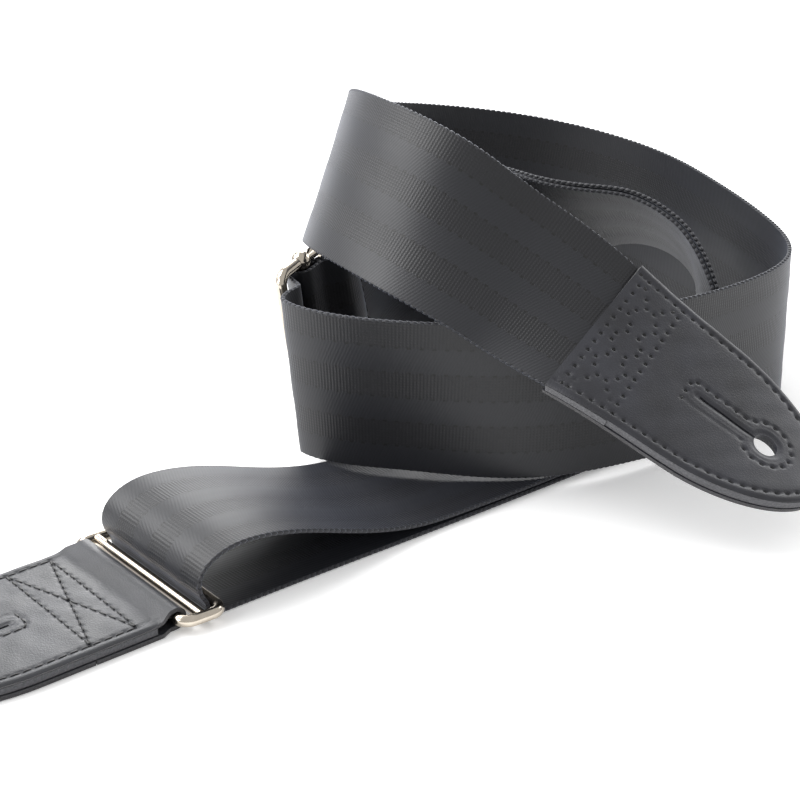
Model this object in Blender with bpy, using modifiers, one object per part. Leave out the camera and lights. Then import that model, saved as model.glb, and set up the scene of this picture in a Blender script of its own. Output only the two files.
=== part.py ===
"""Guitar strap lying loosely coiled: webbing 49 mm wide, a leather end on each side, a slider, a ring.

The webbing is one length of seat-belt webbing. It leaves the front leather end, arches back, runs once
round the coil standing on its edge, goes through the wire slider, turns under the coil and lies flat to
the rear ring. From there it comes back over itself, wraps the slider's centre bar and is sewn down.
+Z is up, the flat run lies along X, and the origin is on the floor under the middle of the strap.
"""

import math

import bmesh
import bpy
import numpy as np
from mathutils import Vector

MM = 0.001

# Driving dimensions, in millimetres.
WEBBING_WIDTH = 49.0
WEBBING_THICKNESS = 1.3
LEATHER_THICKNESS = 1.2
GAP = 0.3
SECTION_STEP = 4.5
FINE_STEP = 1.5

TAB_LENGTH = 79.0
TAB_HALF_WIDTH = 25.5
TAB_ROUND_START = 40.0
HOLE_FROM_BASE = 58.5
HOLE_RADIUS = 4.5
SLIT_START = 35.0
SLIT_WIDTH = 1.4
WEBBING_IN_TAB = 18.0
TAB_GAP = 0.6
REAR_FLAP = 24.0
THREAD_RADIUS = 0.35
SEAM_INSET = 4.0

SLIDER_WIRE_RADIUS = 1.8
SLIDER_BAR_OFFSET = 12.0
SLIDER_HALF_LENGTH = 27.0
SLIDER_CORNER = 3.4
CENTRE_BAR_RADIUS = 1.6
CENTRE_BAR_BALL = 3.3
WIRE_JOINT_AT = -8.0
TILT_ROOM = 1.7
WEAVE_REACH = 26.0
TAIL_LENGTH = 27.0
SEAM_FROM_BAR = 22.0

RING_WIRE_RADIUS = 1.65
RING_BAR_PITCH = 6.25
RING_HALF_LENGTH = 27.6
RING_CORNER = 3.6
RING_HEIGHT = 3.35
RING_YAW = 3.0
RING_WEBBING_BAR = (-88.0, -19.3)

# The middle of the webbing from the tip of the front leather end to the ring: x, y, z and lean.
# The lean turns the webbing about its own run: 0 stands it on edge and -90 lays it flat on the floor.
ROUTE = [
    (66.5, -117.8, 13.5, 80),
    (58, -101.8, 23.5, 76),
    (46, -79.8, 38.5, 68),
    (34, -57.8, 53.5, 61),
    (24.5, -35.8, 65.5, 48),
    (10.2, -10.8, 80.5, 36),
    (11.3, 22, 83.2, 29),
    (27.5, 52.9, 75.6, 19),
    (55.5, 82.7, 60, 9),
    (86, 107.2, 47.5, 0),
    (125.5, 117.2, 37, -6),
    (163.5, 96.2, 29, -8),
    (176, 59.2, 25, -10),
    (166.5, 20.2, 25, -8),
    (152.5, -18.8, 25, -2),
    (131.5, -47.8, 25, 0),
    (94.5, -55.8, 25.5, 0),
    (57.5, -53.8, 27.5, 0),
    (24.5, -42.8, 28.4, 0),
    (-3.5, -18.8, 29.6, -6),
    (-16, 0.2, 29.6, -5),
    (-18, 14.2, 29.3, -5),
    (-10.3, 24, 28.9, -6),
    (2.5, 29.4, 30.1, -6),
    (15.5, 34.8, 31.2, -8),
    (28.5, 40.7, 31.8, -12),
    (48.5, 54.2, 32, -19),
    (74.5, 64.7, 30, -26),
    (95.5, 60.2, 32.5, -20),
    (115.5, 40.2, 41, 34),
    (132, 13.2, 45, 51),
    (132, -10.8, 34, 24),
    (119.5, -21.8, 19, -32),
    (97.5, -23.3, 8.5, -78),
    (73.5, -22.8, 3, -90),
    (50.5, -21.8, 1.0, -90),
    (18.5, -21.3, 0.75, -90),
    (-15.5, -20.8, 0.75, -90),
    (-54.5, -19.8, 0.75, -90),
    (-88, -19.3, 0.75, -90),
]
TAB_BASE_STATION = 3
SLIDER_STATION = 23
RING_STATION = 39

# The hump of the return layer above the ring, as x and z, from the ring's bar to where it lies down.
HUMP = [
    (-92.7, 7.6),
    (-92.7, 12.4),
    (-86, 17.7),
    (-75, 18.6),
    (-60.5, 15.8),
    (-39.5, 8.8),
    (-16.5, 3.5),
    (2.5, 2.7),
]
LAYER_PITCH = WEBBING_THICKNESS + GAP + 0.2

COLOURS = {
    "webbing": ((0.035, 0.037, 0.045), 0.75, 0.0),
    "leather": ((0.03, 0.031, 0.036), 0.5, 0.0),
    "leather_core": ((0.06, 0.06, 0.065), 0.9, 0.0),
    "nickel": ((0.8, 0.75, 0.68), 0.22, 1.0),
    "thread": ((0.012, 0.012, 0.014), 0.6, 0.0),
}


def clear_scene():
    for obj in list(bpy.data.objects):
        bpy.data.objects.remove(obj, do_unlink=True)


def new_collection(name):
    collection = bpy.data.collections.new(name)
    bpy.context.scene.collection.children.link(collection)
    return collection


def material(name, finish):
    colour, roughness, metallic = COLOURS[finish]
    made = bpy.data.materials.new(name)
    made.use_nodes = True
    shader = made.node_tree.nodes["Principled BSDF"]
    shader.inputs["Base Color"].default_value = (*colour, 1)
    shader.inputs["Roughness"].default_value = roughness
    shader.inputs["Metallic"].default_value = metallic
    made.diffuse_color = (*colour, 1)
    return made


def add_object(name, data, finish, collection):
    made = bpy.data.objects.new(name, data)
    collection.objects.link(made)
    if finish:
        data.materials.append(material(name, finish))
    return made


def natural_spline(knots, values):
    """A natural cubic spline through the values, as a function of distance."""
    spans = np.diff(knots)
    system = np.eye(len(knots))
    bends = np.zeros_like(values)
    for i in range(1, len(knots) - 1):
        system[i, i - 1 : i + 2] = spans[i - 1], 2 * (spans[i - 1] + spans[i]), spans[i]
        slopes = np.diff(values[i - 1 : i + 2], axis=0) / spans[i - 1 : i + 1, None]
        bends[i] = 6 * (slopes[1] - slopes[0])
    bends = np.linalg.solve(system, bends)

    def at(distance):
        i = int(np.clip(np.searchsorted(knots, distance) - 1, 0, len(spans) - 1))
        before, after, span = knots[i + 1] - distance, distance - knots[i], spans[i]
        cubic = (bends[i] * before**3 + bends[i + 1] * after**3) / (6 * span)
        left = (values[i] / span - bends[i] * span / 6) * before
        right = (values[i + 1] / span - bends[i + 1] * span / 6) * after
        return cubic + left + right

    return at


def chord_lengths(points):
    steps = np.linalg.norm(np.diff(points, axis=0), axis=1)
    return np.concatenate([[0.0], np.cumsum(steps)])


STATIONS = np.array(ROUTE, float)
KNOTS = chord_lengths(STATIONS[:, :3])
ROUTE_AT = natural_spline(KNOTS, STATIONS)
TAB_BASE = KNOTS[TAB_BASE_STATION]
SLIDER_AT = KNOTS[SLIDER_STATION]
RING_AT = KNOTS[RING_STATION]


def frame_at(distance):
    """Centre, heading, across (to the webbing's first edge) and inward normal of the route."""
    values = ROUTE_AT(distance)
    heading = Vector((ROUTE_AT(distance + 0.4) - ROUTE_AT(distance - 0.4))[:3]).normalized()
    upright = (Vector((0, 0, 1)) - heading * heading.z).normalized()
    side = heading.cross(upright)
    lean = math.radians(values[3])
    across = upright * math.cos(lean) + side * math.sin(lean)
    return Vector(values[:3]), heading, across, heading.cross(across)


BAR_WRAP = CENTRE_BAR_RADIUS + 2 * GAP + WEBBING_THICKNESS / 2
INSIDE_BARS = SLIDER_WIRE_RADIUS + TILT_ROOM + GAP + WEBBING_THICKNESS / 2
OVER_CENTRE = -(BAR_WRAP + LAYER_PITCH)
WEAVE = natural_spline(
    np.array([-34.0, -WEAVE_REACH, -SLIDER_BAR_OFFSET, 0.0, SLIDER_BAR_OFFSET, WEAVE_REACH, 34.0]),
    np.array([[0.0], [0.0], [INSIDE_BARS], [OVER_CENTRE], [INSIDE_BARS], [0.0], [0.0]]),
)


def weave(along):
    """How far the main layer stands in from the slider's plane, at a distance along from its centre."""
    return float(WEAVE(along)[0]) if abs(along) < WEAVE_REACH else 0.0


def layer_point(distance, layer):
    """A point of the main layer (0), the return layer (1) or the sewn tail (2), and its across."""
    centre, heading, across, inward = frame_at(distance)
    along = distance - SLIDER_AT
    slope = (weave(along + 0.3) - weave(along - 0.3)) / 0.6
    stand = layer * LAYER_PITCH * math.hypot(1, slope)
    return centre + inward * (weave(along) + stand), across


def distances(start, end):
    """Section places from start to end: fine where the webbing weaves through the slider."""
    places = [start]
    direction = 1 if end > start else -1
    while (end - places[-1]) * direction > 0.01:
        near = abs(places[-1] - SLIDER_AT) < WEAVE_REACH + 2
        step = FINE_STEP if near else SECTION_STEP
        places.append(places[-1] + direction * min(step, abs(end - places[-1])))
    if abs(places[-1] - places[-2]) < 0.4 * FINE_STEP:
        places.pop(-2)
    return places


def rear_across():
    yaw = math.radians(RING_YAW)
    return Vector((-math.sin(yaw), -math.cos(yaw), 0))


def rear_point(x, z, y=RING_WEBBING_BAR[1]):
    return Vector((x, y, z))


BIGHT_RADIUS = RING_WIRE_RADIUS + GAP + WEBBING_THICKNESS / 2
LIE_DOWN_AT = RING_AT - 106.0


def hump_ribs():
    """The bight round the ring's bar and the hump above it, down to where the layer lies flat."""
    bar_x = RING_WEBBING_BAR[0]
    ribs = []
    for degrees in range(-90, -181, -15):
        angle = math.radians(degrees)
        x = bar_x + BIGHT_RADIUS * math.cos(angle)
        ribs.append(rear_point(x, RING_HEIGHT + BIGHT_RADIUS * math.sin(angle)))
    last, _ = layer_point(LIE_DOWN_AT, 1)
    after, _ = layer_point(LIE_DOWN_AT - SECTION_STEP, 1)
    guide = [(ribs[-2].x, ribs[-2].z), (ribs[-1].x, ribs[-1].z), *HUMP, (last.x, last.z), (after.x, after.z)]
    guide = np.array(guide)
    knots = chord_lengths(guide)
    curve = natural_spline(knots, guide)
    count = int((knots[-2] - knots[1]) / 4)
    for i in range(1, count):
        x, z = curve(knots[1] + (knots[-2] - knots[1]) * i / count)
        blend = (x - bar_x) / (last.x - bar_x)
        ribs.append(rear_point(x, z, RING_WEBBING_BAR[1] + (last.y - RING_WEBBING_BAR[1]) * max(blend, 0)))
    return [(point, rear_across()) for point in ribs]


def wrap_ribs():
    """The half turn round the slider's centre bar, from its outer side to its inner side."""
    centre, heading, across, inward = frame_at(SLIDER_AT)
    ribs = []
    for degrees in range(15, 166, 15):
        angle = math.radians(degrees)
        offset = -heading * math.sin(angle) - inward * math.cos(angle)
        ribs.append((centre + offset * BAR_WRAP, across))
    return ribs


def tail_ribs():
    """The sewn tail, from the inner side of the centre bar to its cut end."""
    ribs = []
    for along in np.arange(0, TAIL_LENGTH + 0.1, FINE_STEP):
        centre, _, across, inward = frame_at(SLIDER_AT + along)
        settled, _ = layer_point(SLIDER_AT + along, 2)
        reach = (settled - centre).dot(inward)
        ease = min(along / SLIDER_BAR_OFFSET, 1.0)
        ease = ease * ease * (3 - 2 * ease)
        ribs.append((centre + inward * (BAR_WRAP * (1 - ease) + max(reach, BAR_WRAP) * ease), across))
    return ribs


def strip(name, ribs, half_widths, thickness, finish, collection, columns=2):
    """A strip of even thickness through the ribs, each a centre and an across."""
    mesh = bpy.data.meshes.new(name)
    shape = bmesh.new()
    bmesh.ops.create_grid(shape, x_segments=columns, y_segments=len(ribs) - 1, size=1)
    shape.verts.ensure_lookup_table()
    for index, vertex in enumerate(shape.verts):
        row, column = divmod(index, columns + 1)
        centre, across = ribs[row]
        aside = half_widths[row] * (2 * column / columns - 1)
        vertex.co = (centre + across * aside) * MM
    bmesh.ops.triangulate(shape, faces=shape.faces, quad_method="FIXED")
    shape.to_mesh(mesh)
    shape.free()
    made = add_object(name, mesh, finish, collection)
    solid = made.modifiers.new("thickness", "SOLIDIFY")
    solid.thickness = thickness * MM
    solid.offset = 0
    return made


def webbing(name, ribs, collection):
    halves = [WEBBING_WIDTH / 2] * len(ribs)
    return strip(name, ribs, halves, WEBBING_THICKNESS, "webbing", collection)


def build_webbing(collection):
    """The webbing's length in three nodes, with a small gap where one goes on into the next."""
    split = SLIDER_AT - WEAVE_REACH - 8
    in_tab = [TAB_BASE - WEBBING_IN_TAB, TAB_BASE - WEBBING_IN_TAB / 2]
    shoulder = in_tab + distances(TAB_BASE, split - GAP)
    after_slider = distances(SLIDER_AT, LIE_DOWN_AT)
    main = distances(split, SLIDER_AT) + after_slider[1:] + distances(LIE_DOWN_AT, RING_AT)[1:]
    main_ribs = [layer_point(place, 0) for place in main]
    main_ribs[-1] = (main_ribs[-1][0], rear_across())
    flat = [layer_point(place, 1) for place in after_slider]
    loop = tail_ribs()[::-1] + wrap_ribs()[::-1]
    webbing("webbing_shoulder_run", [layer_point(place, 0) for place in shoulder], collection)
    webbing("webbing_main_layer", main_ribs, collection)
    webbing("webbing_return_layer", loop + flat + hump_ribs()[:0:-1], collection)


def tab_half_width(from_base):
    if from_base <= TAB_ROUND_START:
        return TAB_HALF_WIDTH
    share = (from_base - TAB_ROUND_START) / (TAB_LENGTH - TAB_ROUND_START)
    return TAB_HALF_WIDTH * math.sqrt(max(1 - share * share, 0))


def tab_places(start=0.0):
    """Distances from the base of a tab, closer together round its end."""
    places = [place for place in (0.0, 9.0, WEBBING_IN_TAB, 29.0) if place > start]
    places = [start, *places] if start not in places else places
    span = TAB_LENGTH - TAB_ROUND_START
    return places + [TAB_ROUND_START + span * math.sin(math.radians(angle)) for angle in range(0, 85, 12)]


def front_point(from_base, aside, lift):
    """A point of the front tab: lift is measured outwards from the middle of the webbing."""
    centre, _, across, inward = frame_at(TAB_BASE - from_base)
    return centre + across * aside - inward * lift


BAR_X = RING_WEBBING_BAR[0] - 2 * RING_BAR_PITCH
EYE_RADIUS = RING_WIRE_RADIUS + GAP + LEATHER_THICKNESS / 2
BACKING_Z = RING_HEIGHT - EYE_RADIUS
CORE_THICKNESS = 1.4
CORE_Z = BACKING_Z + LEATHER_THICKNESS / 2 + GAP + CORE_THICKNESS / 2
FACE_Z = CORE_Z + CORE_THICKNESS / 2 + GAP + LEATHER_THICKNESS / 2
REAR_BASE = BAR_X - 1.5


def rear_tab_point(from_base, aside, z):
    return rear_point(REAR_BASE - from_base, z) + rear_across() * aside


def keyhole_outline(margin):
    """The keyhole's outline on a tab, as distance from the base and distance aside."""
    radius = HOLE_RADIUS + margin
    half = SLIT_WIDTH / 2 + margin
    opening = math.asin(half / radius)
    points = [(SLIT_START - margin, -half), (SLIT_START - margin, half)]
    for i in range(17):
        angle = math.pi - opening - i * (2 * math.pi - 2 * opening) / 16
        points.append((HOLE_FROM_BASE + radius * math.cos(angle), radius * math.sin(angle)))
    return points


def prism(name, bottom, top, collection):
    """A closed prism between two outlines of the same number of points."""
    mesh = bpy.data.meshes.new(name)
    shape = bmesh.new()
    low = [shape.verts.new(point * MM) for point in bottom]
    high = [shape.verts.new(point * MM) for point in top]
    shape.faces.new(low)
    shape.faces.new(high[::-1])
    for i in range(len(low)):
        j = (i + 1) % len(low)
        shape.faces.new((low[j], low[i], high[i], high[j]))
    bmesh.ops.recalc_face_normals(shape, faces=shape.faces)
    shape.to_mesh(mesh)
    shape.free()
    made = add_object(name, mesh, None, collection)
    made.hide_render = True
    made.display_type = "WIRE"
    return made


def cut(target, cutter):
    boolean = target.modifiers.new("keyhole", "BOOLEAN")
    boolean.operation = "DIFFERENCE"
    boolean.object = cutter


def front_cutter(collection):
    """The keyhole through the front tab, straight along the tab's direction at its hole."""
    _, _, _, inward = frame_at(TAB_BASE - HOLE_FROM_BASE)
    outline = [front_point(place, aside, 0) for place, aside in keyhole_outline(0)]
    bottom = [point + inward * 8 for point in outline]
    top = [point - inward * 8 for point in outline]
    return prism("front_keyhole_cutter", bottom, top, collection)


def build_front_tab(collection, cutters):
    stand = WEBBING_THICKNESS / 2 + TAB_GAP + LEATHER_THICKNESS / 2
    core_start = WEBBING_IN_TAB + GAP
    layers = (
        ("front_tab_face_leather", 0.0, stand, LEATHER_THICKNESS, "leather", 0.0),
        ("front_tab_core", core_start, 0.0, WEBBING_THICKNESS, "leather_core", 0.4),
        ("front_tab_backing_leather", 0.0, -stand, LEATHER_THICKNESS, "leather", 0.0),
    )
    cutter = front_cutter(cutters)
    for name, start, lift, thickness, finish, inset in layers:
        places = tab_places(start)[::-1]
        ribs = []
        for place in places:
            _, _, across, _ = frame_at(TAB_BASE - place)
            ribs.append((front_point(place, 0, lift), across))
        halves = [tab_half_width(place) - inset for place in places]
        cut(strip(name, ribs, halves, thickness, finish, collection, columns=4), cutter)


def rear_face_path():
    """The rear tab's face leather from its tip, over the ring's bar and back under as a flap."""
    path = [(REAR_BASE - place, FACE_Z, tab_half_width(place)) for place in reversed(tab_places(8.0))]
    narrow = TAB_HALF_WIDTH - 1.5
    rise = RING_HEIGHT + EYE_RADIUS
    path += [(BAR_X - 6.5, FACE_Z + 0.25, TAB_HALF_WIDTH), (BAR_X - 4.2, FACE_Z + 0.9, TAB_HALF_WIDTH)]
    path += [(BAR_X - 2.4, rise - 0.45, narrow), (BAR_X - 0.9, rise - 0.05, narrow)]
    for degrees in range(75, -91, -15):
        angle = math.radians(degrees)
        x = BAR_X + EYE_RADIUS * math.cos(angle)
        path.append((x, RING_HEIGHT + EYE_RADIUS * math.sin(angle), narrow))
    path += [(BAR_X - 3.0, BACKING_Z, narrow), (BAR_X - 5.0, BACKING_Z, TAB_HALF_WIDTH)]
    path += [(REAR_BASE - REAR_FLAP, BACKING_Z, TAB_HALF_WIDTH)]
    return path


def rear_strip(name, path, thickness, finish, collection):
    ribs = [(rear_point(x, z), rear_across()) for x, z, _ in path]
    return strip(name, ribs, [half for _, _, half in path], thickness, finish, collection)


def build_rear_tab(collection, cutters):
    outline = keyhole_outline(0)
    bottom = [rear_tab_point(place, aside, -4) for place, aside in outline]
    top = [rear_tab_point(place, aside, 9) for place, aside in outline]
    cutter = prism("rear_keyhole_cutter", bottom, top, cutters)
    core = [(REAR_BASE - p, CORE_Z, tab_half_width(p) - 0.4) for p in tab_places(5.0)]
    backing = [(REAR_BASE - p, BACKING_Z, tab_half_width(p)) for p in tab_places(REAR_FLAP + GAP)]
    faces = (
        ("rear_tab_face_leather", rear_face_path(), LEATHER_THICKNESS, "leather"),
        ("rear_tab_core", core, CORE_THICKNESS, "leather_core"),
        ("rear_tab_backing_leather", backing, LEATHER_THICKNESS, "leather"),
    )
    for name, path, thickness, finish in faces:
        cut(rear_strip(name, path, thickness, finish, collection), cutter)


def tube(name, points, radius, finish, collection, cyclic=False):
    """A round wire or thread through the points."""
    curve = bpy.data.curves.new(name, "CURVE")
    curve.dimensions = "3D"
    curve.bevel_depth = radius * MM
    curve.bevel_resolution = 2
    curve.use_fill_caps = True
    spline = curve.splines.new("POLY")
    spline.points.add(len(points) - 1)
    spline.use_cyclic_u = cyclic
    for target, point in zip(spline.points, points):
        target.co = (*(Vector(point) * MM), 1)
    return add_object(name, curve, finish, collection)


def filled_in(points, step):
    """The outline with extra points, so that no stretch is longer than step."""
    result = [points[0]]
    for first, second in zip(points, points[1:]):
        count = max(1, math.ceil(math.dist(first, second) / step))
        for i in range(1, count + 1):
            result.append(tuple(a + (b - a) * i / count for a, b in zip(first, second)))
    return result


def edge_seam(start):
    """The seam that follows a tab's edge, from one corner of its base round the end to the other."""
    side = []
    for place in [start, 20.0, TAB_ROUND_START]:
        side.append((place, TAB_HALF_WIDTH - SEAM_INSET))
    span = TAB_LENGTH - TAB_ROUND_START - SEAM_INSET
    for angle in range(12, 85, 12):
        turn = math.radians(angle)
        place = TAB_ROUND_START + span * math.sin(turn)
        side.append((place, (TAB_HALF_WIDTH - SEAM_INSET) * math.cos(turn)))
    tip = [(TAB_ROUND_START + span, 0.0)]
    return side + tip + [(place, -aside) for place, aside in reversed(side)]


def webbing_seam():
    """The rows that hold the webbing in the front tab: two cross rows with a zigzag between them."""
    reach = TAB_HALF_WIDTH - SEAM_INSET - 1.2
    points = [(3.0, -reach), (3.0, reach)]
    teeth = 6
    for i in range(teeth + 1):
        aside = reach - 2 * reach * i / teeth
        points.append((6.0 if i % 2 == 0 else 12.0, aside))
    return points + [(15.0, -reach), (15.0, reach)]


def box_x_seam():
    """The box with a cross that closes the rear tab's fold over the ring's bar."""
    near, far, half = 10.0, 22.0, TAB_HALF_WIDTH - SEAM_INSET - 1.2
    return [(near, -half), (near, half), (far, half), (far, -half), (near + 0.8, -half), (far - 0.8, half - 1.2)]


def build_threads(collection):
    front_lift = WEBBING_THICKNESS / 2 + TAB_GAP + LEATHER_THICKNESS + GAP + THREAD_RADIUS
    rear_z = FACE_Z + LEATHER_THICKNESS / 2 + GAP + THREAD_RADIUS
    keyhole = keyhole_outline(3.5)
    threads = (
        ("front_tab_edge_thread", edge_seam(1.5), True),
        ("front_tab_webbing_thread", webbing_seam(), True),
        ("front_tab_keyhole_thread", keyhole, True),
        ("rear_tab_edge_thread", edge_seam(8.5), False),
        ("rear_tab_box_x_thread", box_x_seam(), False),
        ("rear_tab_keyhole_thread", keyhole, False),
    )
    for name, outline, front in threads:
        places = filled_in(outline, 9.0)
        if front:
            points = [front_point(place, aside, front_lift) for place, aside in places]
        else:
            points = [rear_tab_point(place, aside, rear_z) for place, aside in places]
        tube(name, points, THREAD_RADIUS, "thread", collection)
    build_end_seam(collection)


def build_end_seam(collection):
    """The seam that sews the webbing's tail down beside the slider."""
    _, _, across, inward = frame_at(SLIDER_AT + SEAM_FROM_BAR)
    point, _ = layer_point(SLIDER_AT + SEAM_FROM_BAR, 2)
    middle = point + inward * (WEBBING_THICKNESS / 2 + GAP + THREAD_RADIUS + 0.2)
    half = WEBBING_WIDTH / 2 - 2
    points = [middle + across * half * share for share in (-1, -0.5, 0, 0.5, 1)]
    tube("webbing_end_seam_thread", points, THREAD_RADIUS, "thread", collection)


def rounded_loop(half_x, half_y, corner, steps):
    """A rounded rectangle of wire, as points that start at the middle of its +x side."""
    points = [(half_x, 0.0)]
    for centre_x, centre_y, start in (
        (half_x - corner, half_y - corner, 0),
        (corner - half_x, half_y - corner, 90),
        (corner - half_x, corner - half_y, 180),
        (half_x - corner, corner - half_y, 270),
    ):
        for i in range(steps + 1):
            angle = math.radians(start + 90 * i / steps)
            points.append((centre_x + corner * math.cos(angle), centre_y + corner * math.sin(angle)))
    return points


def build_slider(collection):
    """A bent wire frame whose ends meet in one long bar, and a centre bar with a bead at each end."""
    centre, heading, across, _ = frame_at(SLIDER_AT)
    loop = rounded_loop(SLIDER_BAR_OFFSET, SLIDER_HALF_LENGTH, SLIDER_CORNER, 5)[1:]
    ends = [(SLIDER_BAR_OFFSET, WIRE_JOINT_AT + GAP / 2), *loop, (SLIDER_BAR_OFFSET, WIRE_JOINT_AT - GAP / 2)]
    wire = [centre - heading * x + across * y for x, y in ends]
    tube("slider_frame", wire, SLIDER_WIRE_RADIUS, "nickel", collection)
    reach = SLIDER_HALF_LENGTH - 1.5
    bar = tube("slider_centre_bar", [centre - across * reach, centre + across * reach],
               CENTRE_BAR_RADIUS, "nickel", collection)
    bar = as_mesh(bar)
    for side in (-1, 1):
        place = centre + across * SLIDER_HALF_LENGTH * side
        join_and_bore(bar, place, across, heading, side)


def as_mesh(obj):
    """The curve object made a mesh with its caps welded, under the same name."""
    bpy.context.view_layer.update()
    graph = bpy.context.evaluated_depsgraph_get()
    mesh = bpy.data.meshes.new_from_object(obj.evaluated_get(graph))
    shape = bmesh.new()
    shape.from_mesh(mesh)
    bmesh.ops.remove_doubles(shape, verts=shape.verts, dist=1e-6)
    shape.to_mesh(mesh)
    shape.free()
    name, matrix, collection = obj.name, obj.matrix_world.copy(), obj.users_collection[0]
    curve = obj.data
    bpy.data.objects.remove(obj, do_unlink=True)
    bpy.data.curves.remove(curve)
    made = bpy.data.objects.new(name, mesh)
    made.matrix_world = matrix
    collection.objects.link(made)
    return made


def helper(name, place, radius, depth, direction):
    """A hidden sphere, or a cylinder along the direction, that another piece is joined to or cut by."""
    mesh = bpy.data.meshes.new(name)
    shape = bmesh.new()
    if depth:
        bmesh.ops.create_cone(shape, cap_ends=True, segments=16, radius1=radius, radius2=radius, depth=depth)
    else:
        bmesh.ops.create_uvsphere(shape, u_segments=16, v_segments=10, radius=radius)
    shape.to_mesh(mesh)
    shape.free()
    made = add_object(name, mesh, None, bpy.data.collections["cutters"])
    made.rotation_euler = direction.to_track_quat("Z", "Y").to_euler()
    made.location = place * MM
    made.hide_render = True
    made.display_type = "WIRE"
    return made


def add_boolean(target, operand, operation):
    boolean = target.modifiers.new(operand.name, "BOOLEAN")
    boolean.operation = operation
    boolean.object = operand


def join_and_bore(bar, place, across, heading, side):
    """A bead on the end of the bar, bored for the frame's short side to pass through."""
    label = "top" if side > 0 else "bottom"
    bead = helper(f"bead_{label}", place, CENTRE_BAR_BALL * MM, 0, across)
    bore_radius = (SLIDER_WIRE_RADIUS + 0.25) * MM
    bore = helper(f"bead_bore_{label}", place, bore_radius, 4 * CENTRE_BAR_BALL * MM, heading)
    add_boolean(bar, bead, "UNION")
    add_boolean(bar, bore, "DIFFERENCE")


def build_ring(collection):
    """The rear ring: a flat wire loop with a bar across its middle."""
    middle = rear_point(RING_WEBBING_BAR[0] - RING_BAR_PITCH, RING_HEIGHT)
    across = rear_across()
    along = across.cross(Vector((0, 0, 1)))
    loop = rounded_loop(RING_BAR_PITCH, RING_HALF_LENGTH, RING_CORNER, 5)[1:]
    points = [middle + along * x + across * y for x, y in loop]
    ring = as_mesh(tube("rear_ring", points, RING_WIRE_RADIUS, "nickel", collection, cyclic=True))
    depth = 2 * RING_HALF_LENGTH * MM
    bar = helper("ring_bar", middle, (RING_WIRE_RADIUS - 0.15) * MM, depth, across)
    add_boolean(ring, bar, "UNION")


def main():
    clear_scene()
    parts = new_collection("guitar_strap")
    cutters = new_collection("cutters")
    cutters.hide_render = True
    build_webbing(parts)
    build_front_tab(parts, cutters)
    build_rear_tab(parts, cutters)
    build_threads(parts)
    build_slider(parts)
    build_ring(parts)


main()
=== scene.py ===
"""Guitar strap lying loosely coiled: seat-belt webbing, two leather ends, a wire slider and a ring."""

import logging
import math
from dataclasses import dataclass, field
from enum import Enum
from typing import Any, Callable, Sequence

import bmesh
import bpy
import numpy as np
from mathutils import Matrix, Vector


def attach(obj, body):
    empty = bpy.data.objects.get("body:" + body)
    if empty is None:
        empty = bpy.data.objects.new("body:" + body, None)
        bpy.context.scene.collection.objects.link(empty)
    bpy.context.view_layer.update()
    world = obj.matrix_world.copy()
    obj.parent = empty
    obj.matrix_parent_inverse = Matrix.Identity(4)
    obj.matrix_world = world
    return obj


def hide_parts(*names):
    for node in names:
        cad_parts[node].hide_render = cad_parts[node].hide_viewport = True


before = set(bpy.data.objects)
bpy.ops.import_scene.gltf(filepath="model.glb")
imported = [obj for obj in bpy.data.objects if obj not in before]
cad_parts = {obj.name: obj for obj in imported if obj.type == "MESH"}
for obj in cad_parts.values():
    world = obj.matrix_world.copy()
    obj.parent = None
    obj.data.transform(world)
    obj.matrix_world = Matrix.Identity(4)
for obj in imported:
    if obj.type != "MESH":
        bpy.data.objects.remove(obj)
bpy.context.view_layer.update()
LOG = logging.getLogger("guitar_strap")
MM = 0.001
COOL_SHEEN = "#C4CBE0"
SHARP_CORNER = math.radians(50)


class Side(Enum):
    """Which long edge of the webbing."""

    LOWER = -1
    UPPER = 1


# ---------------------------------------------------------------- route


ROUTE = [
    (66.5, -117.8, 13.5, 80),
    (58, -101.8, 23.5, 76),
    (46, -79.8, 38.5, 68),
    (34, -57.8, 53.5, 61),
    (24.5, -35.8, 65.5, 48),
    (10.2, -10.8, 80.5, 36),
    (11.3, 22, 83.2, 29),
    (27.5, 52.9, 75.6, 19),
    (55.5, 82.7, 60, 9),
    (86, 107.2, 47.5, 0),
    (125.5, 117.2, 37, -6),
    (163.5, 96.2, 29, -8),
    (176, 59.2, 25, -10),
    (166.5, 20.2, 25, -8),
    (152.5, -18.8, 25, -2),
    (131.5, -47.8, 25, 0),
    (94.5, -55.8, 25.5, 0),
    (57.5, -53.8, 27.5, 0),
    (24.5, -42.8, 28.4, 0),
    (-3.5, -18.8, 29.6, -6),
    (-16, 0.2, 29.6, -5),
    (-18, 14.2, 29.3, -5),
    (-10.3, 24, 28.9, -6),
    (2.5, 29.4, 30.1, -6),
    (15.5, 34.8, 31.2, -8),
    (28.5, 40.7, 31.8, -12),
    (48.5, 54.2, 32, -19),
    (74.5, 64.7, 30, -26),
    (95.5, 60.2, 32.5, -20),
    (115.5, 40.2, 41, 34),
    (132, 13.2, 45, 51),
    (132, -10.8, 34, 24),
    (119.5, -21.8, 19, -32),
    (97.5, -23.3, 8.5, -78),
    (73.5, -22.8, 3, -90),
    (50.5, -21.8, 1.0, -90),
    (18.5, -21.3, 0.75, -90),
    (-15.5, -20.8, 0.75, -90),
    (-54.5, -19.8, 0.75, -90),
    (-88, -19.3, 0.75, -90),
]
HUMP = [
    (-92.7, 7.6),
    (-92.7, 12.4),
    (-86, 17.7),
    (-75, 18.6),
    (-60.5, 15.8),
    (-39.5, 8.8),
    (-16.5, 3.5),
    (2.5, 2.7),
]


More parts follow.
